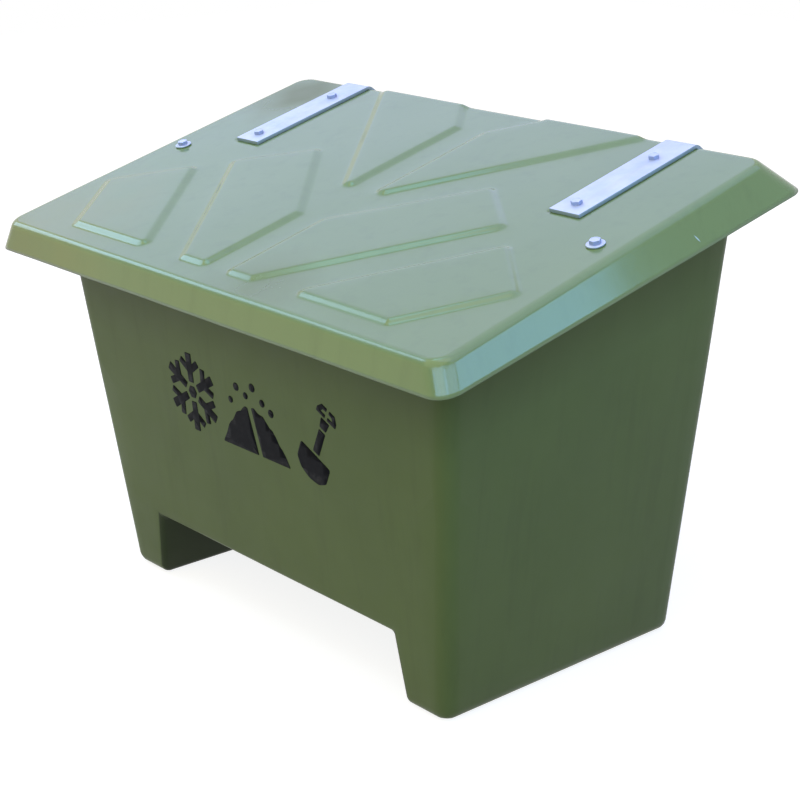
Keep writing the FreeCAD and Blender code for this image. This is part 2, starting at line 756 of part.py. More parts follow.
def make_buffer():
    """A rubber buffer under the lid that stands on the tub's rim, with a blind bolt hole."""
    body = new_body("lid_buffer_right", in_lid("side_bolt_centre", "side_bolt_back", "-lid_wall"))
    centre = ("0", "0")
    pad(body, circle(body, "XY_Plane", centre, "buffer_dia / 2"), "buffer_height", reverse=True)
    bevelled(body, "buffer_bevel", below("-buffer_height / 2"))
    pocket(body, circle(body, "XY_Plane", centre, "bolt_dia / 2 + thread_play"), "buffer_hole_depth")
    return body


strap = make_strap()
leaf = make_leaf()
pin = make_pin()
washer = make_pin_washer()
split_pin = make_split_pin()
buffer = make_buffer()
under = "-(lid_wall + land_backing + washer_thick)"
inside = "-(tub_wall + washer_thick)"
PIECES = [
    make_tub(),
    make_lid(),
    strap,
    mirrored(strap, "hinge_strap_left"),
    leaf,
    mirrored(leaf, "hinge_leaf_left"),
    pin,
    mirrored(pin, "hinge_pin_left"),
    group([washer, mirrored(washer)], "pin_washers"),
    group([split_pin, mirrored(split_pin)], "split_pins"),
    bolts(strap_bolt_frames, "strap_thick - land_sink", "bolt_length", "strap_bolts"),
    washers(strap_bolt_frames, under, "strap_washers"),
    nuts(strap_bolt_frames, f"{under} - nut_thick", "strap_nuts"),
    bolts(side_bolt_frames, "washer_thick", "side_bolt_length", "side_bolts"),
    washers(side_bolt_frames, "0", "side_washers"),
    buffer,
    mirrored(buffer, "lid_buffer_left"),
    bolts(leaf_bolt_frames, "strap_thick", "bolt_length", "leaf_bolts"),
    washers(leaf_bolt_frames, inside, "leaf_washers"),
    nuts(leaf_bolt_frames, f"{inside} - nut_thick", "leaf_nuts"),
]


def check_and_write():
    """Write each sub-part, once the whole document is sound."""
    document.recompute()
    for thing in document.Objects:
        if "Invalid" in thing.State or "Error" in thing.State:
            raise ValueError(f"{thing.Label} ({thing.Name}) is {thing.State}")
    os.makedirs("parts", exist_ok=True)
    for piece in PIECES:
        shape = piece.Shape
        if shape.isNull() or not shape.isValid():
            raise ValueError(piece.Label + " has no valid shape")
        shape.exportStep(f"parts/{piece.Label}.step")
        box = shape.BoundBox
        print(f"{piece.Label:20s} solids {len(shape.Solids)} volume {shape.Volume / 1000:9.1f} cm3"
              f"  x {box.XMin:7.1f} {box.XMax:7.1f}  y {box.YMin:7.1f} {box.YMax:7.1f}"
              f"  z {box.ZMin:6.1f} {box.ZMax:6.1f}")


check_and_write()
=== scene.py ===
import math

import bmesh
import bpy
from mathutils import Matrix, Quaternion, Vector, geometry, noise


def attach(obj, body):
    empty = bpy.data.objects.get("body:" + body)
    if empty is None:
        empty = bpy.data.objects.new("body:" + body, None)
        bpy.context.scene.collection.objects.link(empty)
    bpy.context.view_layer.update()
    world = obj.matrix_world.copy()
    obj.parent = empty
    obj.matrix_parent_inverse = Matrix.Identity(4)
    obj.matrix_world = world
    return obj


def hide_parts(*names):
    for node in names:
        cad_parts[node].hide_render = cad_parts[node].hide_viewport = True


# The looks of a glass-fibre grit bin: satin green gelcoat, a glossier lid with raised panels,
# zinc-plated strap hinges, and a black stencilled mark on the front. Metres, +Z up.

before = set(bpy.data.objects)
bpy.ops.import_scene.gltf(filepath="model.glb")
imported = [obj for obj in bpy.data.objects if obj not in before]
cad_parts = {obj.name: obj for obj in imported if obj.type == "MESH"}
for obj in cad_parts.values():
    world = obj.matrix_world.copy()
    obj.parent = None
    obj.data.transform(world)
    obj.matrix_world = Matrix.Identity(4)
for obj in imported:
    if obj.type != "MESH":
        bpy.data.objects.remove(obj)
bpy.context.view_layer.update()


# Small helpers

TINY = 1e-6


def clamp(value, low, high):
    return max(low, min(high, value))


def blend(start, end, share):
    return start + (end - start) * share


def linked(name, data):
    """A new object in the scene for a mesh, a camera or a lamp."""
    made = bpy.data.objects.new(name, data)
    bpy.context.scene.collection.objects.link(made)
    return made


def mesh_object(name, points, faces):
    mesh = bpy.data.meshes.new(name)
    mesh.from_pydata([tuple(point) for point in points], [], faces)
    mesh.validate()
    return linked(name, mesh)


def bmesh_object(name, mesh):
    """An object of a bmesh, which is freed."""
    data = bpy.data.meshes.new(name)
    mesh.to_mesh(data)
    mesh.free()
    return linked(name, data)


def smooth(piece, degrees):
    """Shade smoothly, but keep edges sharper than an angle."""
    for polygon in piece.data.polygons:
        polygon.use_smooth = True
    piece.data.set_sharp_from_angle(angle=math.radians(degrees))


def add_modifier(piece, kind, **settings):
    modifier = piece.modifiers.new(kind.title(), kind)
    for name, value in settings.items():
        setattr(modifier, name, value)


def dress(piece, body, slot, *materials, replaces=()):
    """Give a piece its materials and the body it rides on."""
    for material in materials:
        piece.data.materials.append(material)
    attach(piece, body)
    if replaces:
        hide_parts(*replaces)


# Sizes of the tub, as in the frame

TUB_HALF = 0.348
TUB_FRONT = -0.1886
TUB_REAR = 0.2364
TUB_WALL = 0.005
TUB_CORNER = 0.023
SIDE_GRADE = math.tan(math.radians(6.3))
FRONT_GRADE = math.tan(math.radians(6.3))
REAR_GRADE = math.tan(math.radians(1.2))
FOOT_ROUND = 0.008
FOOT_SIDE = 0.017
FOOT_END = 0.015
CHANNEL_HEIGHT = 0.100
CHANNEL_TOP_HALF = 0.2575
CHANNEL_GRADE = math.tan(math.radians(8.2))
CHANNEL_ROUND = 0.010
RIM_SLOPE = math.radians(13.838)
RIM_FRONT = Vector((0.0, -0.30080, 0.498045))
RIM_TURN = Matrix.Rotation(RIM_SLOPE, 3, "X")
RIM_HALF = 0.455708
RIM_NEAR = 0.003572
RIM_FAR = 0.586878
RIM_THICK = 0.005
RIM_CORNER = 0.024
RIM_ROUND = 0.005
TUB_CELL = 0.04


# Materials. Each noise has its scale in cells per metre.

BLOTCHES = 5.0
SPOT_EDGES = 14.0
SCUFFS = 22.0
SPANGLES = 30.0
RUN_MARKS = 38.0
RESIN_POOLS = 40.0
SPRAY = 90.0
DUST = 150.0
STRANDS = 260.0
ORANGE_PEEL = 320.0
METAL_GRAIN = 900.0
SHADE_START = 0.14
SHADE_FULL = 0.02
SHADE_END = 0.004
SHADE_FADE = 0.002
TOP_FRONT_EDGE = -0.306
TOP_EDGE_FADE = 0.010
SCRATCH_AT = (0.474, 0.0965, 0.600)
SCRATCH_TURN = math.radians(-49)
SCRATCH_REACH = (0.02, 0.0065, 0.0011)


def new_material(name):
    material = bpy.data.materials.new(name)
    material.use_nodes = True
    nodes = material.node_tree.nodes
    nodes.clear()
    shader = nodes.new("ShaderNodeBsdfPrincipled")
    output = nodes.new("ShaderNodeOutputMaterial")
    material.node_tree.links.new(shader.outputs[0], output.inputs[0])
    return material, shader


def add_node(material, kind, inputs=None, **settings):
    """Add a node, set its properties, and give its inputs numbers or other nodes' outputs."""
    node = material.node_tree.nodes.new("ShaderNode" + kind)
    for name, value in settings.items():
        setattr(node, name, value)
    for name, value in (inputs or {}).items():
        if isinstance(value, bpy.types.NodeSocket):
            material.node_tree.links.new(value, node.inputs[name])
        else:
            node.inputs[name].default_value = value
    return node


def linear(red, green, blue):
    """A colour written as screen values from 0 to 255, in the renderer's linear light."""
    parts = [value / 255 for value in (red, green, blue)]
    return [p / 12.92 if p <= 0.04045 else ((p + 0.055) / 1.055) ** 2.4 for p in parts] + [1.0]


def place_of(material, stretch=(1.0, 1.0, 1.0)):
    """Places on the piece, in metres, stretched to draw a noise out along an axis."""
    place = add_node(material, "TexCoord").outputs["Object"]
    return add_node(material, "Mapping", {"Vector": place, "Scale": stretch}).outputs[0]


def noise_at(material, place, scale, detail=3.0, roughness=0.5):
    settings = {"Vector": place, "Scale": scale, "Detail": detail, "Roughness": roughness}
    return add_node(material, "TexNoise", settings).outputs[0]


def ranged(material, value, low, high, to_low=0.0, to_high=1.0):
    inputs = {"Value": value, "From Min": low, "From Max": high, "To Min": to_low, "To Max": to_high}
    return add_node(material, "MapRange", inputs).outputs[0]


def mixed(material, factor, first, second):
    """Mix two colours; each is a list or another node's output."""
    return add_node(material, "Mix", {0: factor, 6: first, 7: second}, data_type="RGBA").outputs[2]


def calculated(material, operation, *values):
    """A Math node's result; each value is a number or another node's output."""
    return add_node(material, "Math", dict(enumerate(values)), operation=operation).outputs[0]


def split(material, vector):
    """A vector's outputs X, Y and Z."""
    return add_node(material, "SeparateXYZ", {"Vector": vector}).outputs


def wire(material, output, shader, name):
    material.node_tree.links.new(output, shader.inputs[name])


def bumped(material, shader, height, distance):
    bump = add_node(material, "Bump", {"Height": height, "Distance": distance, "Strength": 1.0})
    wire(material, bump.outputs[0], shader, "Normal")


def gelcoat(name, pale, deep, rough, shine, peel, stains_and_painted_light):
    """Pigmented gelcoat: blotches, faint run marks, scuffs and an orange-peel skin.

    Each entry is a function that gives a share from the place, the colour that it fades to, and how
    much it adds to the roughness. Apart from a real scratch, the entries given are painted shade and
    painted reflections laid into the colour.
    """
    material, shader = new_material(name)
    shader.inputs["Specular IOR Level"].default_value = shine
    place = place_of(material)
    blotch = noise_at(material, place, BLOTCHES, 4.0, 0.6)
    tint = mixed(material, ranged(material, blotch, 0.3, 0.7), linear(*deep), linear(*pale))
    streak = noise_at(material, place_of(material, (1.0, 1.0, 0.06)), RUN_MARKS, 4.0, 0.6)
    run_mark = linear(*[value * 0.9 for value in deep])
    tint = mixed(material, ranged(material, streak, 0.52, 0.74, 0.0, 0.35), tint, run_mark)
    scuff = noise_at(material, place, SCUFFS, 5.0, 0.65)
    dullness = ranged(material, scuff, 0.35, 0.75, rough, rough + 0.06)
    # Real marks, painted shade and painted reflections, each blended into the colour by its share.
    for share_at, colour, wear in stains_and_painted_light:
        share = share_at(material, place)
        tint = mixed(material, share, tint, linear(*colour))
        dullness = calculated(material, "MULTIPLY_ADD", share, wear, dullness)
    wire(material, tint, shader, "Base Color")
    wire(material, dullness, shader, "Roughness")
    bumped(material, shader, noise_at(material, place, ORANGE_PEEL, 2.0, 0.5), peel)
    return material


def painted_rim_shade(material, place):
    """Painted shade of the lid's overhang: it starts below the rim, grows towards it and ends above it."""
    parts = split(material, place)
    climb = calculated(material, "MULTIPLY_ADD", parts["Y"], -math.tan(RIM_SLOPE), parts["Z"])
    level = RIM_FRONT.z - RIM_FRONT.y * math.tan(RIM_SLOPE)
    shade = ranged(material, climb, level - SHADE_START, level - SHADE_FULL, 0.0, 0.75)
    below = ranged(material, climb, level + SHADE_END, level + SHADE_END + SHADE_FADE, 1.0, 0.0)
    return calculated(material, "MULTIPLY", shade, below)


def painted_channel_shade(material, place):
    """Painted shade: high where a side wall faces the middle plane, as in the fork channel, else zero."""
    normal = add_node(material, "NewGeometry").outputs["True Normal"]
    both = calculated(material, "MULTIPLY", split(material, place)["X"], split(material, normal)["X"])
    return ranged(material, both, -0.1, -0.02, 0.85, 0.0)


def soft_spot(material, place, centre, reach):
    """A share that falls from its most round a centre to zero, over about a reach, unevenly."""
    away = add_node(material, "VectorMath", {0: place, 1: centre}, operation="DISTANCE").outputs["Value"]
    uneven = noise_at(material, place, SPOT_EDGES, 1.0, 0.4)
    edge = calculated(material, "MULTIPLY_ADD", uneven, reach * 0.7, away)
    return ranged(material, edge, reach * 0.45, reach * 1.35, 1.0, 0.0)


# A rougher spot at the lid's rear left, whose darker olive is a painted dimmer reflection.
def dull_rear_and_painted_dim_sheen(material, place):
    return soft_spot(material, place, centre=(-0.40, 0.20, 0.66), reach=0.13)


def dull_front_and_painted_dim_sheen(material, place):
    """A rougher spot on the lid's top, whose darker olive is a painted dimmer reflection; it stops short of
    its front edge.
    """
    spot = soft_spot(material, place, centre=(0.10, -0.28, 0.53), reach=0.10)
    back = split(material, place)["Y"]
    on_top = ranged(material, back, TOP_FRONT_EDGE, TOP_FRONT_EDGE + TOP_EDGE_FADE)
    return calculated(material, "MULTIPLY", spot, on_top)


# Painted warm reflection of the ground: a yellower olive round the lid's front-left corner.
def painted_warm_reflection_corner(material, place):
    return soft_spot(material, place, centre=(-0.42, -0.32, 0.50), reach=0.26)


def scratch(material, place):
    """A short scratch on the right skirt: high inside a long thin ellipsoid, else zero."""
    inputs = {"Vector": place, "Location": SCRATCH_AT, "Rotation": (SCRATCH_TURN, 0.0, 0.0),
              "Scale": SCRATCH_REACH}
    own = add_node(material, "Mapping", inputs, vector_type="TEXTURE").outputs[0]
    away = add_node(material, "VectorMath", {0: own}, operation="LENGTH").outputs["Value"]
    return ranged(material, away, 0.4, 1.0, 0.8, 0.0)


def laminate(name, pale, deep):
    """The unfinished side of the laminate: resin over chopped glass strands."""
    material, shader = new_material(name)
    strand = noise_at(material, place_of(material, (1.0, 0.25, 1.0)), STRANDS, 3.0, 0.7)
    other = noise_at(material, place_of(material, (0.25, 1.0, 0.6)), STRANDS, 3.0, 0.7)
    fibre = calculated(material, "MAXIMUM", strand, other)
    tint = mixed(material, ranged(material, fibre, 0.45, 0.75), linear(*deep), linear(*pale))
    wire(material, tint, shader, "Base Color")
    pool = noise_at(material, place_of(material), RESIN_POOLS, 3.0, 0.5)
    wire(material, ranged(material, pool, 0.3, 0.7, 0.38, 0.7), shader, "Roughness")
    bumped(material, shader, fibre, 0.0006)
    return material


def painted_side_shade(material):
    """Where the painted shade goes: one where a piece at rest faces sideways or to the front, zero where it
    faces up or back.
    """
    parts = split(material, add_node(material, "TexCoord").outputs["Normal"])
    side = calculated(material, "ABSOLUTE", parts["X"])
    front = calculated(material, "MULTIPLY", parts["Y"], -1.0)
    return ranged(material, calculated(material, "MAXIMUM", side, front), 0.45, 0.8)


def zinc(name, edge):
    """Zinc-plated steel: pale, slightly blue, with painted shade on faces that turn sideways or to the
    front, and a fine grain.
    """
    material, shader = new_material(name)
    place = place_of(material)
    patch = noise_at(material, place, SPANGLES, 4.0, 0.6)
    tint = mixed(material, ranged(material, patch, 0.35, 0.7), linear(206, 208, 222), linear(192, 197, 214))
    wire(material, mixed(material, painted_side_shade(material), tint, linear(*edge)), shader, "Base Color")
    shader.inputs["Metallic"].default_value = 0.3
    wire(material, ranged(material, patch, 0.3, 0.7, 0.42, 0.6), shader, "Roughness")
    bumped(material, shader, noise_at(material, place, METAL_GRAIN, 2.0, 0.5), 0.00004)
    return material


def rubber(name):
    material, shader = new_material(name)
    dust = noise_at(material, place_of(material), DUST, 4.0, 0.6)
    tint = mixed(material, ranged(material, dust, 0.45, 0.8), linear(22, 22, 23), linear(48, 47, 45))
    wire(material, tint, shader, "Base Color")
    wire(material, ranged(material, dust, 0.3, 0.7, 0.75, 0.9), shader, "Roughness")
    bumped(material, shader, dust, 0.0001)
    return material


def stencil_paint(name):
    """Black paint sprayed through a stencil, thinner in places."""
    material, shader = new_material(name)
    shader.inputs["Specular IOR Level"].default_value = 0.06
    thin = noise_at(material, place_of(material), SPRAY, 5.0, 0.7)
    tint = mixed(material, ranged(material, thin, 0.55, 0.8), linear(8, 8, 12), linear(22, 22, 27))
    wire(material, tint, shader, "Base Color")
    wire(material, ranged(material, thin, 0.3, 0.7, 0.4, 0.6), shader, "Roughness")
    bumped(material, shader, thin, 0.00005)
    return material


# The tub's two entries are painted shade: under the lid's rim, and on the channel walls that face in.
TUB_GELCOAT = gelcoat("tub_gelcoat", (91, 103, 53), (85, 97, 50), rough=0.42, shine=0.2, peel=0.00005,
                      stains_and_painted_light=[(painted_rim_shade, (64, 70, 28), 0.0), (painted_channel_shade, (36, 44, 22), 0.0)])
# On the lid: rougher spots with a painted dimmer reflection, a painted warm reflection at a corner, and a
# real scratch.
LID_GELCOAT = gelcoat("lid_gelcoat", (118, 136, 80), (113, 132, 78), rough=0.13, shine=0.5, peel=0.00006,
                      stains_and_painted_light=[(dull_rear_and_painted_dim_sheen, (98, 106, 58), 0.24), (dull_front_and_painted_dim_sheen, (104, 118, 62), 0.14),
                              (painted_warm_reflection_corner, (126, 132, 72), 0.0), (scratch, (190, 206, 200), 0.3)])
LAMINATE = laminate("laminate_inside", (124, 136, 104), (88, 102, 70))
# The second colour of each zinc is the painted shade of its side and front faces.
ZINC = zinc("zinc_bar", (146, 158, 164))
ZINC_BOLT = zinc("zinc_bolts", (146, 156, 186))
RUBBER = rubber("black_rubber")
STENCIL_PAINT = stencil_paint("stencil_paint")


# Lid frame: across, back up the slope from the front edge, and up square to the top

LID_SLOPE = math.radians(15.3)
LID_FRONT = Vector((0.0, -0.3079, 0.524))
LID_TURN = Matrix.Rotation(LID_SLOPE, 3, "X")


def in_lid(across, back, up):
    return LID_FRONT + LID_TURN @ Vector((across, back, up))


LID_HALF = 0.459
LID_DEPTH = 0.569
LID_CORNER = 0.028
LID_WALL = 0.004
EDGE_ROUND = 0.014
SKIRT_FRONT = 0.0365
SKIRT_REAR = 0.0525
FLARE_FRONT = 0.016
FLARE_SIDE = 0.020
FLARE_REAR = 0.042
FRONT_LEAN = FLARE_FRONT / SKIRT_FRONT
REAR_LEAN = FLARE_REAR / SKIRT_REAR
SIDE_LEAN = FLARE_SIDE / ((SKIRT_FRONT + SKIRT_REAR) / 2)
SKIRT_GROWTH = (SKIRT_REAR - SKIRT_FRONT) / (LID_DEPTH + FLARE_FRONT + FLARE_REAR)
TOP_INSET = 0.0097

PANEL_RISE = 0.0046
PANEL_BEVEL = 0.0098
PANEL_SOFT = 0.003
PANEL_CORNER = 0.014
PANEL_FRONT = 0.036
PANEL_FADE = 0.012
PANEL_PAST = LID_DEPTH + 0.040
STRAP_CENTRE = 0.323
LAND_HALF = 0.0295
LAND_FRONT = 0.3405
BACKING_HALF = 0.0425
LAND_SINK = 0.0015
LAND_RUN = 0.003
LAND_SOFT = 0.001
LAND_CORNER = 0.006
RIM_SPACING = 0.014
RING_SPACING = 0.018
GRID = 0.019
CLEAR_OUTSIDE = 0.006
CLEAR_INSIDE = 0.014
CLEAR_OF_RIM = 0.008
TURN_STEP = math.radians(11)
ARC_STEPS = 10
SKIRT_STEPS = 7
LID_SWELL = 0.0006


def beyond(near, far):
    """Where a line through two points gets to, past the lid's rear edge."""
    share = (PANEL_PAST - near[1]) / (far[1] - near[1])
    return (blend(near[0], far[0], share), PANEL_PAST)


MIDDLE_PANEL = [(0.020, PANEL_FRONT), (0.076, PANEL_FRONT), (0.286, 0.286), (0.177, 0.372), (0.020, 0.206)]
OUTER_PANEL = [(0.147, PANEL_FRONT), (0.335, PANEL_FRONT), (0.431, 0.162), (0.322, 0.254)]
REAR_PANEL = [(0.022, 0.290), (0.042, 0.290), beyond((0.042, 0.290), (0.272, LID_DEPTH)),
              beyond((0.022, 0.502), (0.080, LID_DEPTH)), (0.022, 0.502)]
LAND = [(STRAP_CENTRE - LAND_HALF, LAND_FRONT), (STRAP_CENTRE + LAND_HALF, LAND_FRONT),
        (STRAP_CENTRE + LAND_HALF, PANEL_PAST), (STRAP_CENTRE - LAND_HALF, PANEL_PAST)]


def crossing(first, second):
    """Where two lines in the plane meet, each given by two points."""
    (a, b), (c, d) = first, second
    along, other = b - a, d - c
    share = ((c.x - a.x) * other.y - (c.y - a.y) * other.x) / (along.x * other.y - along.y * other.x)
    return a + along * share


def distance_to(point, a, b):
    share = clamp((point - a).dot(b - a) / (b - a).length_squared, 0.0, 1.0)
    return (point - a.lerp(b, share)).length


class Relief:
    """A raised or sunk area of the lid's top: a convex outline, and a ramp inside its edge."""

    def __init__(self, outline, rise, run, soft, corner, mirror):
        points = [Vector(point) for point in outline]
        if mirror:
            points = [Vector((-point.x, point.y)) for point in reversed(points)]
        self.rise = rise
        self.run = run
        self.soft = soft
        self.corner = corner
        edges = list(zip(points, points[1:] + points[:1]))
        self.normals = [Vector((b.y - a.y, a.x - b.x)).normalized() for a, b in edges]
        moved = [(a - n * corner, b - n * corner) for (a, b), n in zip(edges, self.normals)]
        self.core = [crossing(before, here) for before, here in zip(moved[-1:] + moved[:-1], moved)]

    def inward(self, point):
        """How far a point lies inside the outline, its corners rounded."""
        count = len(self.core)
        sides = [(point - self.core[i]).dot(self.normals[i]) for i in range(count)]
        if max(sides) <= 0:
            return self.corner - max(sides)
        nearest = min(distance_to(point, self.core[i], self.core[(i + 1) % count]) for i in range(count))
        return self.corner - nearest

    def height(self, point):
        """The relief's height at a point: a ramp with a soft foot and a soft top."""
        depth = self.inward(point)
        grade = self.rise / self.run
        if depth <= -self.soft:
            return 0.0
        if depth < self.soft:
            return grade * (depth + self.soft) ** 2 / (4 * self.soft)
        if depth <= self.run - self.soft:
            return grade * depth
        if depth < self.run + self.soft:
            return self.rise - grade * (self.run + self.soft - depth) ** 2 / (4 * self.soft)
        return self.rise

    def ring(self, depth):
        """Points round the outline at a depth inside it, arcs at the corners."""
        points = []
        count = len(self.core)
        radius = self.corner - depth
        for i in range(count):
            before, after = self.normals[i - 1], self.normals[i]
            turn = before.angle(after)
            steps = max(2, round(turn / TURN_STEP))
            for step in range(steps + 1):
                spin = Matrix.Rotation(turn * step / steps, 2)
                points.append(self.core[i] + spin @ before * radius)
            far = self.core[(i + 1) % count]
            parts = max(1, round((far - self.core[i]).length / RING_SPACING))
            for part in range(1, parts):
                points.append(self.core[i].lerp(far, part / parts) + after * radius)
        return points

    def ring_depths(self):
        """Depths at which the ramp needs rows of points."""
        soft, run = self.soft, self.run
        return [-soft, -soft / 2, 0, soft / 2, soft, run / 2, run - soft, run - soft / 2, run,
                run + soft / 2, run + soft]


PANELS = [Relief(outline, PANEL_RISE, PANEL_BEVEL, PANEL_SOFT, PANEL_CORNER, mirror)
          for outline in (MIDDLE_PANEL, OUTER_PANEL, REAR_PANEL) for mirror in (False, True)]
LANDS = [Relief(LAND, -LAND_SINK, LAND_RUN, LAND_SOFT, LAND_CORNER, mirror) for mirror in (False, True)]


def swell(point, size, amount, seed):
    """Slow unevenness of a moulding, from minus to plus an amount."""
    return noise.noise(point / size + Vector((seed, seed * 1.7, seed * 0.3))) * amount


def lid_swell(place):
    return swell(place, 0.17, LID_SWELL, 4.2) + swell(place, 0.06, 0.00012, 9.1)


def panel_height(point):
    return max(panel.height(point) for panel in PANELS)


def land_height(point):
    return min(land.height(point) for land in LANDS)


def lid_outline():
    """The rounded rectangle of the lid's flat top, as points."""
    radius = LID_CORNER - TOP_INSET
    across, near, far = LID_HALF - LID_CORNER, LID_CORNER, LID_DEPTH - LID_CORNER
    centres = [(across, near, -90), (across, far, 0), (-across, far, 90), (-across, near, 180)]
    points = []
    for i, (x, y, start) in enumerate(centres):
        for step in range(ARC_STEPS + 1):
            angle = math.radians(start + 90 / ARC_STEPS * step)
            points.append(Vector((x + radius * math.cos(angle), y + radius * math.sin(angle))))
        x_next, y_next, _ = centres[(i + 1) % 4]
        last = points[-1]
        end = last + Vector((x_next - x, y_next - y))
        parts = round((end - last).length / RIM_SPACING)
        for part in range(1, parts):
            points.append(last.lerp(end, part / parts))
    return points


def in_outline(point, inset):
    near_x = clamp(point.x, -LID_HALF + LID_CORNER, LID_HALF - LID_CORNER)
    near_y = clamp(point.y, LID_CORNER, LID_DEPTH - LID_CORNER)
    return (point - Vector((near_x, near_y))).length < LID_CORNER - inset


def lid_plan():
    """A flat mesh of the lid's top with rows of points along every ramp: points and triangles."""
    points, edges = [], []

    def add_loop(loop):
        first = len(points)
        points.extend(loop)
        edges.extend((first + i, first + (i + 1) % len(loop)) for i in range(len(loop)))

    add_loop(lid_outline())
    rim_count = len(points)
    for relief in PANELS + LANDS:
        for depth in relief.ring_depths():
            add_loop(relief.ring(depth))
    columns, rows = math.floor(LID_HALF / GRID), math.floor(LID_DEPTH / GRID)
    for column in range(-columns, columns + 1):
        for row in range(1, rows):
            point = Vector((column * GRID, row * GRID))
            depths = [relief.inward(point) for relief in PANELS + LANDS]
            clear = all(not -CLEAR_OUTSIDE < depth < CLEAR_INSIDE for depth in depths)
            if clear and in_outline(point, TOP_INSET + CLEAR_OF_RIM):
                points.append(point)
    flat = geometry.delaunay_2d_cdt(points, edges, [list(range(rim_count))], 0, TINY, True)
    inside = [face for face, origin in zip(flat[2], flat[5]) if 0 in origin]
    used = sorted({i for face in inside for i in face})
    number = {old: new for new, old in enumerate(used)}
    return [flat[0][i] for i in used], [[number[i] for i in face] for face in inside]


def rim_loop(faces):
    """The outer loop of a flat mesh of anticlockwise faces, as point numbers."""
    edges = [pair for face in faces for pair in zip(face, face[1:] + face[:1])]
    known = set(edges)
    open_edges = {a: b for a, b in edges if (b, a) not in known}
    start = next(iter(open_edges))
    loop = [start]
    while open_edges[loop[-1]] != start:
        loop.append(open_edges[loop[-1]])
    return loop


def skirt_line(point):
    """The points down the skirt from a point at the rim of the lid's flat top."""
    across = LID_HALF - LID_CORNER
    centre = Vector((clamp(point.x, -across, across), clamp(point.y, LID_CORNER, LID_DEPTH - LID_CORNER)))
    normal = (point - centre).normalized()
    corner = centre + normal * LID_CORNER
    share = (centre.y - LID_CORNER) / (LID_DEPTH - 2 * LID_CORNER)
    lean = Vector((SIDE_LEAN * centre.x / across, blend(-FRONT_LEAN, REAR_LEAN, share)))
    outward = lean.dot(normal)
    bend = math.pi / 2 - math.atan(outward)
    reach = EDGE_ROUND * math.tan(bend / 2)
    depth = (SKIRT_FRONT + (corner.y + FLARE_FRONT) * SKIRT_GROWTH) / (1 - lean.y * SKIRT_GROWTH)
    drop = reach / math.sqrt(1 + outward ** 2)
    panel, land = panel_height(point), land_height(point)
    top = (corner - normal * reach).to_3d()
    ridge = corner.to_3d()
    below = (corner + lean * drop).to_3d() - Vector((0, 0, drop))
    line = []
    for step in range(ARC_STEPS + 1):
        share = step / ARC_STEPS
        place = top.lerp(ridge, share).lerp(ridge.lerp(below, share), share)
        line.append((place, bend * share, reach * 2 * share))
    for step in range(1, SKIRT_STEPS + 1):
        down = blend(drop, depth, step / SKIRT_STEPS)
        place = (corner + lean * down).to_3d() - Vector((0, 0, down))
        line.append((place, bend, reach + (down - drop)))
    moved = []
    for place, angle, run in line:
        fade = clamp(1 - run / PANEL_FADE, 0.0, 1.0)
        out = (normal * math.sin(angle)).to_3d() + Vector((0, 0, math.cos(angle)))
        moved.append(place + out * (panel * fade * fade * (3 - 2 * fade) + land))
    return moved


def make_lid():
    plan, faces = lid_plan()
    loop = rim_loop(faces)
    places = [Vector((p.x, p.y, panel_height(p) + land_height(p))) for p in plan]
    rows = [loop]
    lines = [skirt_line(plan[i]) for i in loop]
    for step in range(len(lines[0])):
        rows.append([len(places) + i for i in range(len(loop))])
        places.extend(line[step] for line in lines)
    for upper, lower in zip(rows, rows[1:]):
        for i in range(len(loop)):
            j = (i + 1) % len(loop)
            faces.append([upper[i], lower[i], lower[j], upper[j]])
    points = [in_lid(place.x, place.y, place.z + (lid_swell(place) - LID_SWELL)) for place in places]
    lid = mesh_object("lid_moulding", points, faces)
    smooth(lid, 80)
    add_modifier(lid, "SOLIDIFY", thickness=LID_WALL, offset=-1.0, use_even_offset=True,
                 material_offset=1)
    return lid


dress(make_lid(), "lid", "lid_laminate", LID_GELCOAT, LAMINATE, replaces=["lid_shell"])


# Tub. Its outside is drawn as one sheet of flat faces, then rounded, thickened and made uneven.

def on_rim(across, back, up):
    return RIM_FRONT + RIM_TURN @ Vector((across, back, up))


def wall_point(side, end, height):
    """A corner of the tub's walls at a height. Side is -1 or 1 and end is -1 at the front."""
    across = side * (TUB_HALF + height * SIDE_GRADE)
    back = TUB_FRONT - height * FRONT_GRADE if end < 0 else TUB_REAR + height * REAR_GRADE
    return Vector((across, back, height))


def wall_top(side, end):
    """Where a corner of the walls meets the underside of the rim."""
    low, high = wall_point(side, end, 0.0), wall_point(side, end, 1.0)
    normal = RIM_TURN @ Vector((0, 0, 1))
    under = on_rim(0, 0, -RIM_THICK)
    share = (under - low).dot(normal) / (high - low).dot(normal)
    return low.lerp(high, share)


def channel_point(side, end, height):
    across = side * (CHANNEL_TOP_HALF + (CHANNEL_HEIGHT - height) * CHANNEL_GRADE)
    point = wall_point(side, end, height)
    return Vector((across, point.y, height))


def tub_swell(place):
    return swell(place, 0.20, 0.0007, 2.3) + swell(place, 0.07, 0.00015, 6.6)


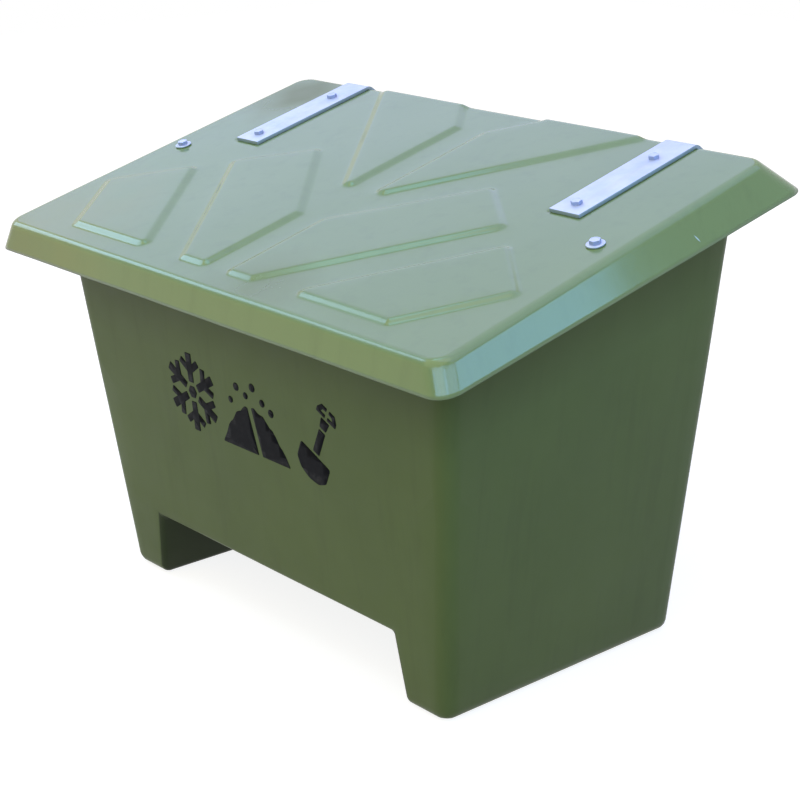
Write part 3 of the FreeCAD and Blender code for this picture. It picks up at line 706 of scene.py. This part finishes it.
def make_tub():
    mesh = bmesh.new()
    bevel = mesh.edges.layers.float.new("bevel_weight_edge")
    corner = mesh.verts.new
    ends = (-1, 1)
    foot = {(s, e): corner(wall_point(s, e, 0.0)) for s in ends for e in ends}
    low = {(s, e): corner(channel_point(s, e, 0.0)) for s in ends for e in ends}
    high = {(s, e): corner(channel_point(s, e, CHANNEL_HEIGHT)) for s in ends for e in ends}
    top = {(s, e): corner(wall_top(s, e)) for s in ends for e in ends}
    back_at = {-1: RIM_NEAR, 1: RIM_FAR}
    rim = {(s, e): corner(on_rim(s * RIM_HALF, back_at[e], -RIM_THICK)) for s in ends for e in ends}
    for s in ends:
        mesh.faces.new([foot[s, -1], foot[s, 1], top[s, 1], top[s, -1]])
        mesh.faces.new([foot[s, -1], low[s, -1], low[s, 1], foot[s, 1]])
        mesh.faces.new([low[s, -1], high[s, -1], high[s, 1], low[s, 1]])
        mesh.faces.new([top[s, -1], top[s, 1], rim[s, 1], rim[s, -1]])
    mesh.faces.new([high[-1, -1], high[1, -1], high[1, 1], high[-1, 1]])
    for e in ends:
        mesh.faces.new([foot[-1, e], low[-1, e], high[-1, e], high[1, e], low[1, e], foot[1, e],
                        top[1, e], top[-1, e]])
        mesh.faces.new([top[-1, e], top[1, e], rim[1, e], rim[-1, e]])
    bmesh.ops.recalc_face_normals(mesh, faces=mesh.faces)
    roof = next(face for face in mesh.faces if high[1, 1] in face.verts and high[-1, -1] in face.verts)
    if roof.normal.z > 0:
        bmesh.ops.reverse_faces(mesh, faces=mesh.faces)

    def soften(a, b, radius):
        mesh.edges.get((a, b))[bevel] = radius / TUB_CORNER

    for s in ends:
        for e in ends:
            soften(foot[s, e], top[s, e], TUB_CORNER)
            soften(foot[s, e], low[s, e], FOOT_END)
            soften(low[s, e], high[s, e], FOOT_ROUND)
        soften(foot[s, -1], foot[s, 1], FOOT_SIDE)
        soften(low[s, -1], low[s, 1], FOOT_ROUND)
        soften(high[s, -1], high[s, 1], CHANNEL_ROUND)
        soften(top[s, -1], top[s, 1], RIM_ROUND)
    for e in ends:
        soften(high[-1, e], high[1, e], FOOT_ROUND)
        soften(top[-1, e], top[1, e], RIM_ROUND)
    tub = bmesh_object("tub_moulding", mesh)
    round_rim(tub)
    add_modifier(tub, "BEVEL", width=TUB_CORNER, segments=6, limit_method="WEIGHT", profile=0.5,
                 miter_outer="MITER_SHARP", use_clamp_overlap=True)
    apply_modifiers(tub)
    roughen(tub, TUB_CELL, tub_swell)
    smooth(tub, 50)
    add_modifier(tub, "SOLIDIFY", thickness=TUB_WALL, offset=-1.0, material_offset=1)
    return tub


def round_rim(tub):
    """Round the four free corners of the rim in plan."""
    mesh = bmesh.new()
    mesh.from_mesh(tub.data)
    corners = [v for v in mesh.verts if abs(v.co.x) > RIM_HALF - 0.001]
    bmesh.ops.bevel(mesh, geom=corners, offset=RIM_CORNER, segments=6, profile=0.5, affect="VERTICES")
    mesh.to_mesh(tub.data)
    mesh.free()


def apply_modifiers(piece):
    graph = bpy.context.evaluated_depsgraph_get()
    data = bpy.data.meshes.new_from_object(piece.evaluated_get(graph))
    piece.modifiers.clear()
    piece.data = data


def roughen(piece, spacing, amount_at):
    """Cut a mesh into cells of a size and move each point along its normal."""
    mesh = bmesh.new()
    mesh.from_mesh(piece.data)
    for axis in range(3):
        places = [v.co[axis] for v in mesh.verts]
        first = math.ceil(min(places) / spacing)
        for step in range(first, math.ceil(max(places) / spacing)):
            at, across = Vector(), Vector()
            at[axis] = step * spacing
            across[axis] = 1.0
            bmesh.ops.bisect_plane(mesh, geom=mesh.verts[:] + mesh.edges[:] + mesh.faces[:],
                                   plane_co=at, plane_no=across, dist=TINY)
    mesh.normal_update()
    moved = [v.co + v.normal * amount_at(v.co) for v in mesh.verts]
    for vert, place in zip(mesh.verts, moved):
        if vert.co.z > FOOT_ROUND:
            vert.co = place
    mesh.to_mesh(piece.data)
    mesh.free()


dress(make_tub(), "tub", "tub_laminate", TUB_GELCOAT, LAMINATE, replaces=["tub_shell"])


# Steel and rubber pieces that keep their shape from the frame, with eased edges

EASE = 0.0006
STEEL_NODES = ["hinge_strap_left", "hinge_strap_right", "hinge_leaf_left", "hinge_leaf_right",
               "hinge_pin_left", "hinge_pin_right", "split_pins",
               "pin_washers", "side_washers", "strap_washers", "leaf_washers"]


def ease(node, material):
    node.data.materials.clear()
    node.data.materials.append(material)
    add_modifier(node, "WELD", merge_threshold=TINY)
    add_modifier(node, "DECIMATE", decimate_type="DISSOLVE", angle_limit=math.radians(1))
    add_modifier(node, "BEVEL", width=EASE, segments=2, limit_method="ANGLE", angle_limit=math.radians(30))
    smooth(node, 30)


for name in STEEL_NODES:
    ease(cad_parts[name], ZINC)
for name in ("lid_buffer_left", "lid_buffer_right"):
    ease(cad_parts[name], RUBBER)


# Fasteners. Each is drawn about its own axis, with its seat at zero, then set on its place.

ACROSS = 0.013
CHAMFER_RADIUS = ACROSS / 2 * 0.96
HEAD_THICK = 0.0053
HEAD_DISH = 0.0003
DISH_MIDDLE = 0.0015
SEAT_CHAMFER = 0.0003
SEAT_EDGE = 0.0004
NUT_THICK = 0.0065
NUT_GAP = 0.0001
COUNTERSINK = 0.0007
BOLT_RADIUS = 0.004
BOLT_LENGTH = 0.025
BOLT_THREADED = 0.016
SIDE_BOLT_LENGTH = 0.020
SIDE_BOLT_THREADED = 0.012
THREAD_PITCH = 0.00125
THREAD_DEPTH = 0.0007
THREAD_ROWS = 4
TIP_LENGTH = 0.0015
TIP_SHARE = 0.82
WASHER_THICK = 0.002
STRAP_THICK = 0.005
BACKING = 0.003
STRAP_ON_TOP = 0.224
STRAP_BOLT_INSET = 0.024
STRAP_BOLT_PITCH = 0.145
SIDE_BOLT_ACROSS = LID_HALF - 0.039
SIDE_BOLT_BACK = 0.296
LEAF_BOLT_LOW = 0.510953
LEAF_BOLT_PITCH = 0.045
AROUND = 48


def ring_of(radius, height):
    """Points round an axis; radius and height are each a number or a function of the angle."""
    points = []
    for step in range(AROUND):
        angle = 2 * math.pi * step / AROUND
        out = radius(angle) if callable(radius) else radius
        up = height(angle) if callable(height) else height
        points.append(Vector((out * math.cos(angle), out * math.sin(angle), up)))
    return points


def hexagon_at(angle):
    turned = angle % (math.pi / 3) - math.pi / 6
    return ACROSS / 2 / math.cos(turned)


def chamfered(angle, level, up):
    """The height of a hexagon's edge where a cone of 30 degrees has cut it."""
    return level - up * (hexagon_at(angle) - CHAMFER_RADIUS) * math.tan(math.radians(30))


def head_rings():
    """From the middle of a bolt's head down to its seat: a dished top, a chamfer and six sides."""
    return [
        ring_of(DISH_MIDDLE, HEAD_THICK - HEAD_DISH),
        ring_of(CHAMFER_RADIUS * 0.8, HEAD_THICK - HEAD_DISH),
        ring_of(CHAMFER_RADIUS * 0.86, HEAD_THICK),
        ring_of(CHAMFER_RADIUS, HEAD_THICK),
        ring_of(hexagon_at, lambda angle: chamfered(angle, HEAD_THICK, 1)),
        ring_of(hexagon_at, SEAT_EDGE),
        ring_of(lambda angle: hexagon_at(angle) - SEAT_CHAMFER, 0.0),
        ring_of(BOLT_RADIUS, 0.0),
    ]


def thread_radius(angle, height, length):
    """How far out a thread's surface lies; it narrows at the bolt's tip."""
    phase = (height / THREAD_PITCH - angle / (2 * math.pi)) % 1.0
    above_tip = clamp((height + length) / TIP_LENGTH, 0.0, 1.0)
    return (BOLT_RADIUS - THREAD_DEPTH * abs(2 * phase - 1)) * blend(TIP_SHARE, 1.0, above_tip)


def thread_rings(length, threaded):
    """A shank from its seat down, whose last stretch carries a thread and a chamfered tip."""
    rings = [ring_of(BOLT_RADIUS, threaded - length)]
    rows = round(threaded / THREAD_PITCH * THREAD_ROWS)
    for row in range(rows + 1):
        height = threaded - length - threaded * row / rows
        rings.append(ring_of(lambda angle: thread_radius(angle, height, length), height))
    rings.append(ring_of(BOLT_RADIUS * 0.3, -length))
    return rings


def nut_rings():
    """From the bore's top over the chamfered hexagon and back to the bore: a closed loop of rings."""
    rings = []
    bore = BOLT_RADIUS + NUT_GAP
    for level, up in ((0.0, 1), (-NUT_THICK, -1)):
        edge = [
            ring_of(bore, level - up * COUNTERSINK),
            ring_of(bore + COUNTERSINK, level),
            ring_of(CHAMFER_RADIUS, level),
            ring_of(hexagon_at, lambda angle: chamfered(angle, level, up)),
        ]
        rings.extend(edge if up > 0 else reversed(edge))
    return rings + rings[:1]


def set_rings(points, faces, rings, turn):
    """Join rings of points by faces, their ends closed where the last ring isn't the first."""
    first = len(points)
    closed = rings[-1] is rings[0]
    own = rings[:-1] if closed else rings
    for ring in own:
        points.extend(turn @ point for point in ring)
    for row in range(len(rings) - 1):
        upper = first + row * AROUND
        lower = first + (row + 1) % len(own) * AROUND
        for step in range(AROUND):
            after = (step + 1) % AROUND
            faces.append([upper + step, lower + step, lower + after, upper + after])
    if not closed:
        faces.append([first + step for step in range(AROUND)])
        last = first + (len(own) - 1) * AROUND
        faces.append([last + step for step in reversed(range(AROUND))])


def make_fasteners(name, places, rings):
    """One piece of like fasteners. A place is a point and the direction that the head faces."""
    points, faces = [], []
    for count, (place, facing) in enumerate(places):
        turn = facing.to_track_quat("Z", "Y").to_matrix().to_4x4()
        spin = Matrix.Rotation(math.radians(20 + 37 * count), 4, "Z")
        set_rings(points, faces, rings, Matrix.Translation(place) @ turn @ spin)
    piece = mesh_object(name, points, faces)
    smooth(piece, 25)
    return piece


def lid_places(spots, level):
    facing = LID_TURN @ Vector((0, 0, 1))
    return [(in_lid(across, back, level), facing) for across, back in spots]


def leaf_places(out):
    """Where the bolts of both leaves cross the rear wall, moved out along its normal."""
    facing = Vector((0, 1, -REAR_GRADE)).normalized()
    places = []
    for across in (-STRAP_CENTRE, STRAP_CENTRE):
        for height in (LEAF_BOLT_LOW, LEAF_BOLT_LOW + LEAF_BOLT_PITCH):
            wall = Vector((across, TUB_REAR + height * REAR_GRADE, height))
            places.append((wall + facing * out, facing))
    return places


STRAP_FRONT = LID_DEPTH - STRAP_ON_TOP
STRAP_SPOTS = [(across, STRAP_FRONT + STRAP_BOLT_INSET + step)
               for across in (-STRAP_CENTRE, STRAP_CENTRE) for step in (0.0, STRAP_BOLT_PITCH)]
SIDE_SPOTS = [(side * SIDE_BOLT_ACROSS, SIDE_BOLT_BACK) for side in (-1, 1)]
UNDER_LID = LID_WALL + BACKING + WASHER_THICK
IN_TUB = TUB_WALL + WASHER_THICK
BOLT = head_rings() + thread_rings(BOLT_LENGTH, BOLT_THREADED)
SIDE_BOLT = head_rings() + thread_rings(SIDE_BOLT_LENGTH, SIDE_BOLT_THREADED)
NUT = nut_rings()

FASTENERS = [
    ("strap_hex_bolts", lid_places(STRAP_SPOTS, STRAP_THICK - LAND_SINK), BOLT, "lid", "strap_bolts"),
    ("side_hex_bolts", lid_places(SIDE_SPOTS, WASHER_THICK), SIDE_BOLT, "lid", "side_bolts"),
    ("leaf_hex_bolts", leaf_places(STRAP_THICK), BOLT, "tub", "leaf_bolts"),
    ("strap_hex_nuts", lid_places(STRAP_SPOTS, -UNDER_LID), NUT, "lid", "strap_nuts"),
    ("leaf_hex_nuts", leaf_places(-IN_TUB), NUT, "tub", "leaf_nuts"),
]

for name, places, rings, body, node in FASTENERS:
    dress(make_fasteners(name, places, rings), body, "galvanised_steel", ZINC_BOLT, replaces=[node])


BACKING_CORNER = 0.009
BACKING_EDGE = 0.0014
BACKING_CELL = 0.016
BACKING_SWELL = 0.00025


def make_backing(name, side):
    """The thicker laminate inside the lid that a strap's bolts clamp."""
    near, far = STRAP_FRONT, STRAP_FRONT + 2 * STRAP_BOLT_INSET + STRAP_BOLT_PITCH
    mesh = bmesh.new()
    box = bmesh.ops.create_cube(mesh, size=1.0)
    for vert in box["verts"]:
        across = side * STRAP_CENTRE + math.copysign(BACKING_HALF, vert.co.x)
        back = near if vert.co.y < 0 else far
        vert.co = (across, back, -LID_WALL if vert.co.z > 0 else -LID_WALL - BACKING)
    upright = [edge for edge in mesh.edges if abs(edge.verts[0].co.z - edge.verts[1].co.z) > BACKING / 2]
    bmesh.ops.bevel(mesh, geom=upright, offset=BACKING_CORNER, segments=5, profile=0.5, affect="EDGES")
    low = [edge for edge in mesh.edges if all(vert.co.z < -LID_WALL - BACKING / 2 for vert in edge.verts)]
    bmesh.ops.bevel(mesh, geom=low, offset=BACKING_EDGE, segments=3, profile=0.5, affect="EDGES")
    piece = bmesh_object(name, mesh)
    roughen(piece, BACKING_CELL, lambda place: swell(place, 0.02, BACKING_SWELL, 5.5) - 0.0002)
    for vert in piece.data.vertices:
        vert.co = in_lid(*vert.co)
    smooth(piece, 50)
    return piece


for side, name in ((-1, "lid_backing_left"), (1, "lid_backing_right")):
    dress(make_backing(name, side), "lid", "lid_laminate", LAMINATE)


# Stencilled mark: a snowflake, a heap of grit and a shovel, sprayed on the front.

MARK_MIDDLE = 0.009
MARK_LEVEL = 0.330
MARK_CELL = 0.015
MARK_AHEAD = 0.003
PAINT = 0.0003
BAR_ROUND = 0.002
OUTLINE_STEPS = 3
HEAP_STEPS = 12
GAP_LEAN = 0.014
SHOVEL_WIDER = 1.45


def arc_points(centre, radius, end, steps):
    """Points of an arc from due right to an end in degrees."""
    points = []
    for step in range(steps + 1):
        angle = math.radians(end * (step / steps))
        points.append(Vector((centre[0] + radius * math.cos(angle), centre[1] + radius * math.sin(angle))))
    return points


def rounded_outline(corners, radius):
    """An outline with its corners cut by short arcs."""
    points = []
    count = len(corners)
    for i in range(count):
        before, here, after = Vector(corners[i - 1]), Vector(corners[i]), Vector(corners[(i + 1) % count])
        reach = min(radius, (before - here).length * 0.45, (after - here).length * 0.45)
        start = here + (before - here).normalized() * reach
        end = here + (after - here).normalized() * reach
        for step in range(OUTLINE_STEPS + 1):
            share = step / OUTLINE_STEPS
            points.append(start.lerp(here, share).lerp(here.lerp(end, share), share))
    return points


def bar(start, end, width, end_width=None):
    """A bar from one point to another, which may widen on the way."""
    start, end = Vector(start), Vector(end)
    aside = (end - start).normalized().orthogonal()
    near, far = aside * width / 2, aside * (end_width or width) / 2
    return rounded_outline([start + near, start - near, end - far, end + far], BAR_ROUND)


def snowflake(centre, size):
    """Six arms with a pair of twigs each, which stop short of a six-sided middle."""
    middle = Vector(centre)
    shapes = [rounded_outline(arc_points(centre, size * 0.17, 300, 5), 0.001)]
    for arm in range(6):
        angle = math.radians(30 + 60 * arm)
        out = Vector((math.cos(angle), math.sin(angle)))
        shapes.append(bar(middle + out * size * 0.25, middle + out * size, size * 0.20, size * 0.24))
        root = middle + out * size * 0.55
        for side in (-55, 55):
            twig = Matrix.Rotation(math.radians(side), 2) @ out
            shapes.append(bar(root, root + twig * size * 0.42, size * 0.18))
    return shapes


def heap(centre, half, height):
    """A heap of grit in two parts with a slanting gap, and loose grains over it."""
    shapes = []
    for start, end, start_lean, end_lean in ((-1.0, -0.12, 0.0, GAP_LEAN), (0.0, 1.0, GAP_LEAN, 0.0)):
        ridge = []
        for step in range(HEAP_STEPS + 1):
            share = blend(start, end, step / HEAP_STEPS)
            level = height * (max(math.cos(share * math.pi / 2), 0.0) ** 0.85 + 0.03 * math.sin(share * 23))
            ridge.append((centre[0] + share * half, centre[1] + max(level, 0.002)))
        foot = [(centre[0] + end * half + end_lean, centre[1]),
                (centre[0] + start * half + start_lean, centre[1])]
        shapes.append(rounded_outline(ridge + foot, 0.0015))
    for across, level, radius in ((-0.62, 1.02, 0.0050), (-0.40, 1.35, 0.0060), (-0.13, 1.23, 0.0050),
                                  (0.10, 1.46, 0.0062), (0.36, 1.20, 0.0055), (0.60, 1.05, 0.0058)):
        grain = (centre[0] + across * half, centre[1] + level * height)
        shapes.append(arc_points(grain, radius, 330, 11))
    return shapes


def shovel(foot, lean):
    """A shovel that leans to the right: blade, shaft and a grip like a D."""
    turn = Matrix.Rotation(math.radians(-lean), 2)

    def outline(points):
        return [Vector(foot) + turn @ Vector((across * SHOVEL_WIDER, up)) for across, up in points]

    blade = [(-0.021, 0.040), (-0.021, 0.014), (-0.013, 0.003), (0.0, -0.001), (0.013, 0.003),
             (0.021, 0.014), (0.021, 0.040)]
    grip = [(0.0016, 0.104), (0.0135, 0.104), (0.0135, 0.111), (0.009, 0.120), (0.0016, 0.120),
            (0.0016, 0.1145), (0.0062, 0.1140), (0.0082, 0.1092), (0.0016, 0.1092)]
    other_grip = [(-across, up) for across, up in grip]
    return [rounded_outline(outline(blade), 0.004),
            bar(*outline([(0.0, 0.044), (0.0, 0.082)]), 0.013),
            bar(*outline([(0.0, 0.086), (0.0, 0.101)]), 0.013, 0.017),
            rounded_outline(outline(grip), 0.001),
            rounded_outline(outline(other_grip), 0.001)]


def anticlockwise(outline):
    area = sum(a.x * b.y - b.x * a.y for a, b in zip(outline, outline[1:] + outline[:1]))
    return outline if area > 0 else outline[::-1]


def make_mark():
    """All shapes joined in one flat sheet, laid on the tub's front and given the paint's thickness."""
    shapes = snowflake(centre=(-0.134, 0.0), size=0.057)
    shapes += heap(centre=(0.0, -0.055), half=0.072, height=0.066)
    shapes += shovel(foot=(0.112, -0.055), lean=27)
    points, faces = [], []
    for shape in shapes:
        faces.append(list(range(len(points), len(points) + len(shape))))
        points.extend(anticlockwise(shape))
    flat = geometry.delaunay_2d_cdt(points, [], faces, 0, 1e-7, True)
    sheet = [face for face, origin in zip(flat[2], flat[5]) if origin]
    places = []
    for point in flat[0]:
        height = MARK_LEVEL + point.y
        places.append((MARK_MIDDLE + point.x, TUB_FRONT - height * FRONT_GRADE - MARK_AHEAD, height))
    mark = mesh_object("stencil_mark", places, sheet)
    roughen(mark, MARK_CELL, lambda place: 0.0)
    add_modifier(mark, "SHRINKWRAP", target=bpy.data.objects["tub_moulding"], offset=PAINT,
                 wrap_method="NEAREST_SURFACEPOINT", wrap_mode="ABOVE_SURFACE")
    apply_modifiers(mark)
    smooth(mark, 40)
    add_modifier(mark, "SOLIDIFY", thickness=PAINT * 0.9, offset=-1.0)
    return mark


dress(make_mark(), "tub", None, STENCIL_PAINT)


# Floor, camera, lamps and background

FLOOR_HALF = 6.0
FLOOR_COLOUR = (0.4, 0.36, 0.33, 1.0)
NEAR_GLOW = 0.84
GLOW_START = 0.7
GLOW_END = 2.4
WHITE = (1.0, 1.0, 1.0, 1.0)
WORLD_COLOUR = (1.0, 0.92, 0.8, 1.0)
WORLD_STRENGTH = 0.16
CAMERA_AT = (1.8260, -1.5558, 1.1077)
CAMERA_LENS = 81.633
CAMERA_HEADING = math.radians(48.845)
CAMERA_DIP = math.radians(18.617)
CAMERA_ROLL = math.radians(-0.1564)


def make_floor():
    """A pale floor with the bin's shadow, which turns to the backdrop's white further out."""
    corners = [(x * FLOOR_HALF, y * FLOOR_HALF, 0) for x, y in ((-1, -1), (1, -1), (1, 1), (-1, 1))]
    floor = mesh_object("floor", corners, [(0, 1, 2, 3)])
    material, shader = new_material("floor")
    shader.inputs["Base Color"].default_value = FLOOR_COLOUR
    shader.inputs["Roughness"].default_value = 0.95
    shader.inputs["Specular IOR Level"].default_value = 0.0
    far = add_node(material, "VectorMath", {0: place_of(material)}, operation="LENGTH").outputs["Value"]
    strength = ranged(material, far, GLOW_START, GLOW_END, NEAR_GLOW, 1.0)
    glow = add_node(material, "Emission", {"Color": WHITE, "Strength": strength})
    dark = add_node(material, "Emission", {"Strength": 0.0})
    lift = add_node(material, "MixShader", {0: seen(material), 1: dark.outputs[0], 2: glow.outputs[0]})
    both = add_node(material, "AddShader", {0: shader.outputs[0], 1: lift.outputs[0]})
    output = next(node for node in material.node_tree.nodes if node.type == "OUTPUT_MATERIAL")
    wire(material, both.outputs[0], output, 0)
    floor.data.materials.append(material)


def seen(material):
    """One for a ray from the camera or one that glosses or passes through, else zero."""
    path = add_node(material, "LightPath").outputs
    either = calculated(material, "MAXIMUM", path["Is Camera Ray"], path["Is Glossy Ray"])
    return calculated(material, "MAXIMUM", either, path["Is Transmission Ray"])


def make_camera():
    camera = linked("camera", bpy.data.cameras.new("camera"))
    camera.data.sensor_width = 36.0
    camera.data.lens = CAMERA_LENS
    tilt = Matrix.Rotation(math.pi / 2 - CAMERA_DIP, 4, "X") @ Matrix.Rotation(CAMERA_ROLL, 4, "Z")
    turn = Matrix.Rotation(CAMERA_HEADING, 4, "Z") @ tilt
    camera.matrix_world = Matrix.Translation(CAMERA_AT) @ turn
    bpy.context.scene.camera = camera


def add_lamp(name, aim, towards, distance, size, roll, radiance):
    """An area lamp that stands in a direction from its aim; its roll is in degrees."""
    data = bpy.data.lights.new(name, "AREA")
    data.shape = "RECTANGLE"
    data.size, data.size_y = size
    strongest = max(radiance)
    data.energy = strongest * math.pi * size[0] * size[1]
    data.color = [part / strongest for part in radiance]
    lamp = linked(name, data)
    direction = Vector(towards).normalized()
    lamp.location = Vector(aim) + direction * distance
    lamp.rotation_mode = "QUATERNION"
    lamp.rotation_quaternion = direction.to_track_quat("Z", "Y") @ Quaternion((0, 0, 1), math.radians(roll))


def make_world():
    """Soft light from all round; the camera and reflections see a white backdrop."""
    world = bpy.data.worlds.new("studio")
    bpy.context.scene.world = world
    world.use_nodes = True
    world.node_tree.nodes.clear()
    light = add_node(world, "Background", {"Color": WORLD_COLOUR, "Strength": WORLD_STRENGTH})
    backdrop = add_node(world, "Background", {"Color": WHITE, "Strength": 1.0})
    mix = add_node(world, "MixShader", {0: seen(world), 1: light.outputs[0], 2: backdrop.outputs[0]})
    add_node(world, "OutputWorld", {"Surface": mix.outputs[0]})


MIDDLE = (0.0, 0.0, 0.35)
LID_MIDDLE = (0.0, 0.0, 0.6)
LID_FRONT_EDGE = (0.0, -0.30, 0.54)
RIGHT_SKIRT = (0.47, -0.21, 0.54)
SKIRT_CORNER = (0.45, -0.30, 0.50)

LAMPS = [
    ("sky_on_lid", LID_MIDDLE, (-0.66, 0.45, 0.65), 2.4, (2.2, 1.8), 0, (0.36, 0.48, 1.22)),
    ("sky_low_left", LID_MIDDLE, (-0.86, 0.40, 0.15), 2.4, (2.4, 0.8), 0, (0.12, 0.1, 0.2)),
    ("sky_overhead", LID_MIDDLE, (0.3, 0.2, 0.93), 2.4, (3.2, 3.2), 0, (0.5, 0.65, 1.6)),
    ("sky_on_long_edges", LID_MIDDLE, (-0.27, -0.13, 0.95), 2.4, (0.9, 0.6), 0, (0.6, 2.2, 3.6)),
    ("key", MIDDLE, (0.1, -0.6, 0.79), 2.8, (4.0, 4.0), 0, (1.05, 0.97, 0.55)),
    ("ground_glow", MIDDLE, (-0.5, -0.85, 0.08), 3.0, (3.0, 1.2), 0, (0.5, 0.35, 0.1)),
    ("sky_low_right", MIDDLE, (0.57, -0.82, 0.12), 3.0, (2.4, 1.0), 0, (0.5, 1.0, 1.5)),
    ("sky_on_skirt", RIGHT_SKIRT, (0.78, 0.44, 0.34), 1.0, (0.5, 0.36), 0, (1.4, 3.3, 5.8)),
    ("sky_on_corner", SKIRT_CORNER, (0.438, -0.824, 0.358), 2.6, (2.4, 0.45), 16, (1.4, 3.0, 5.4)),
    ("sky_on_side", SKIRT_CORNER, (0.875, -0.186, 0.446), 2.6, (2.4, 0.45), 0, (1.6, 2.9, 5.0)),
    ("sky_on_bevels", LID_FRONT_EDGE, (-0.8, -0.19, 0.565), 1.6, (1.3, 0.55), 57, (1.9, 2.8, 3.8)),
    ("sky_at_front", LID_FRONT_EDGE, (-0.7, -0.25, 0.67), 1.8, (1.3, 1.0), 0, (0.15, 0.6, 1.2)),
]

make_floor()
make_camera()
make_world()
for lamp in LAMPS:
    add_lamp(*lamp)

bpy.context.scene.view_settings.view_transform = "Standard"
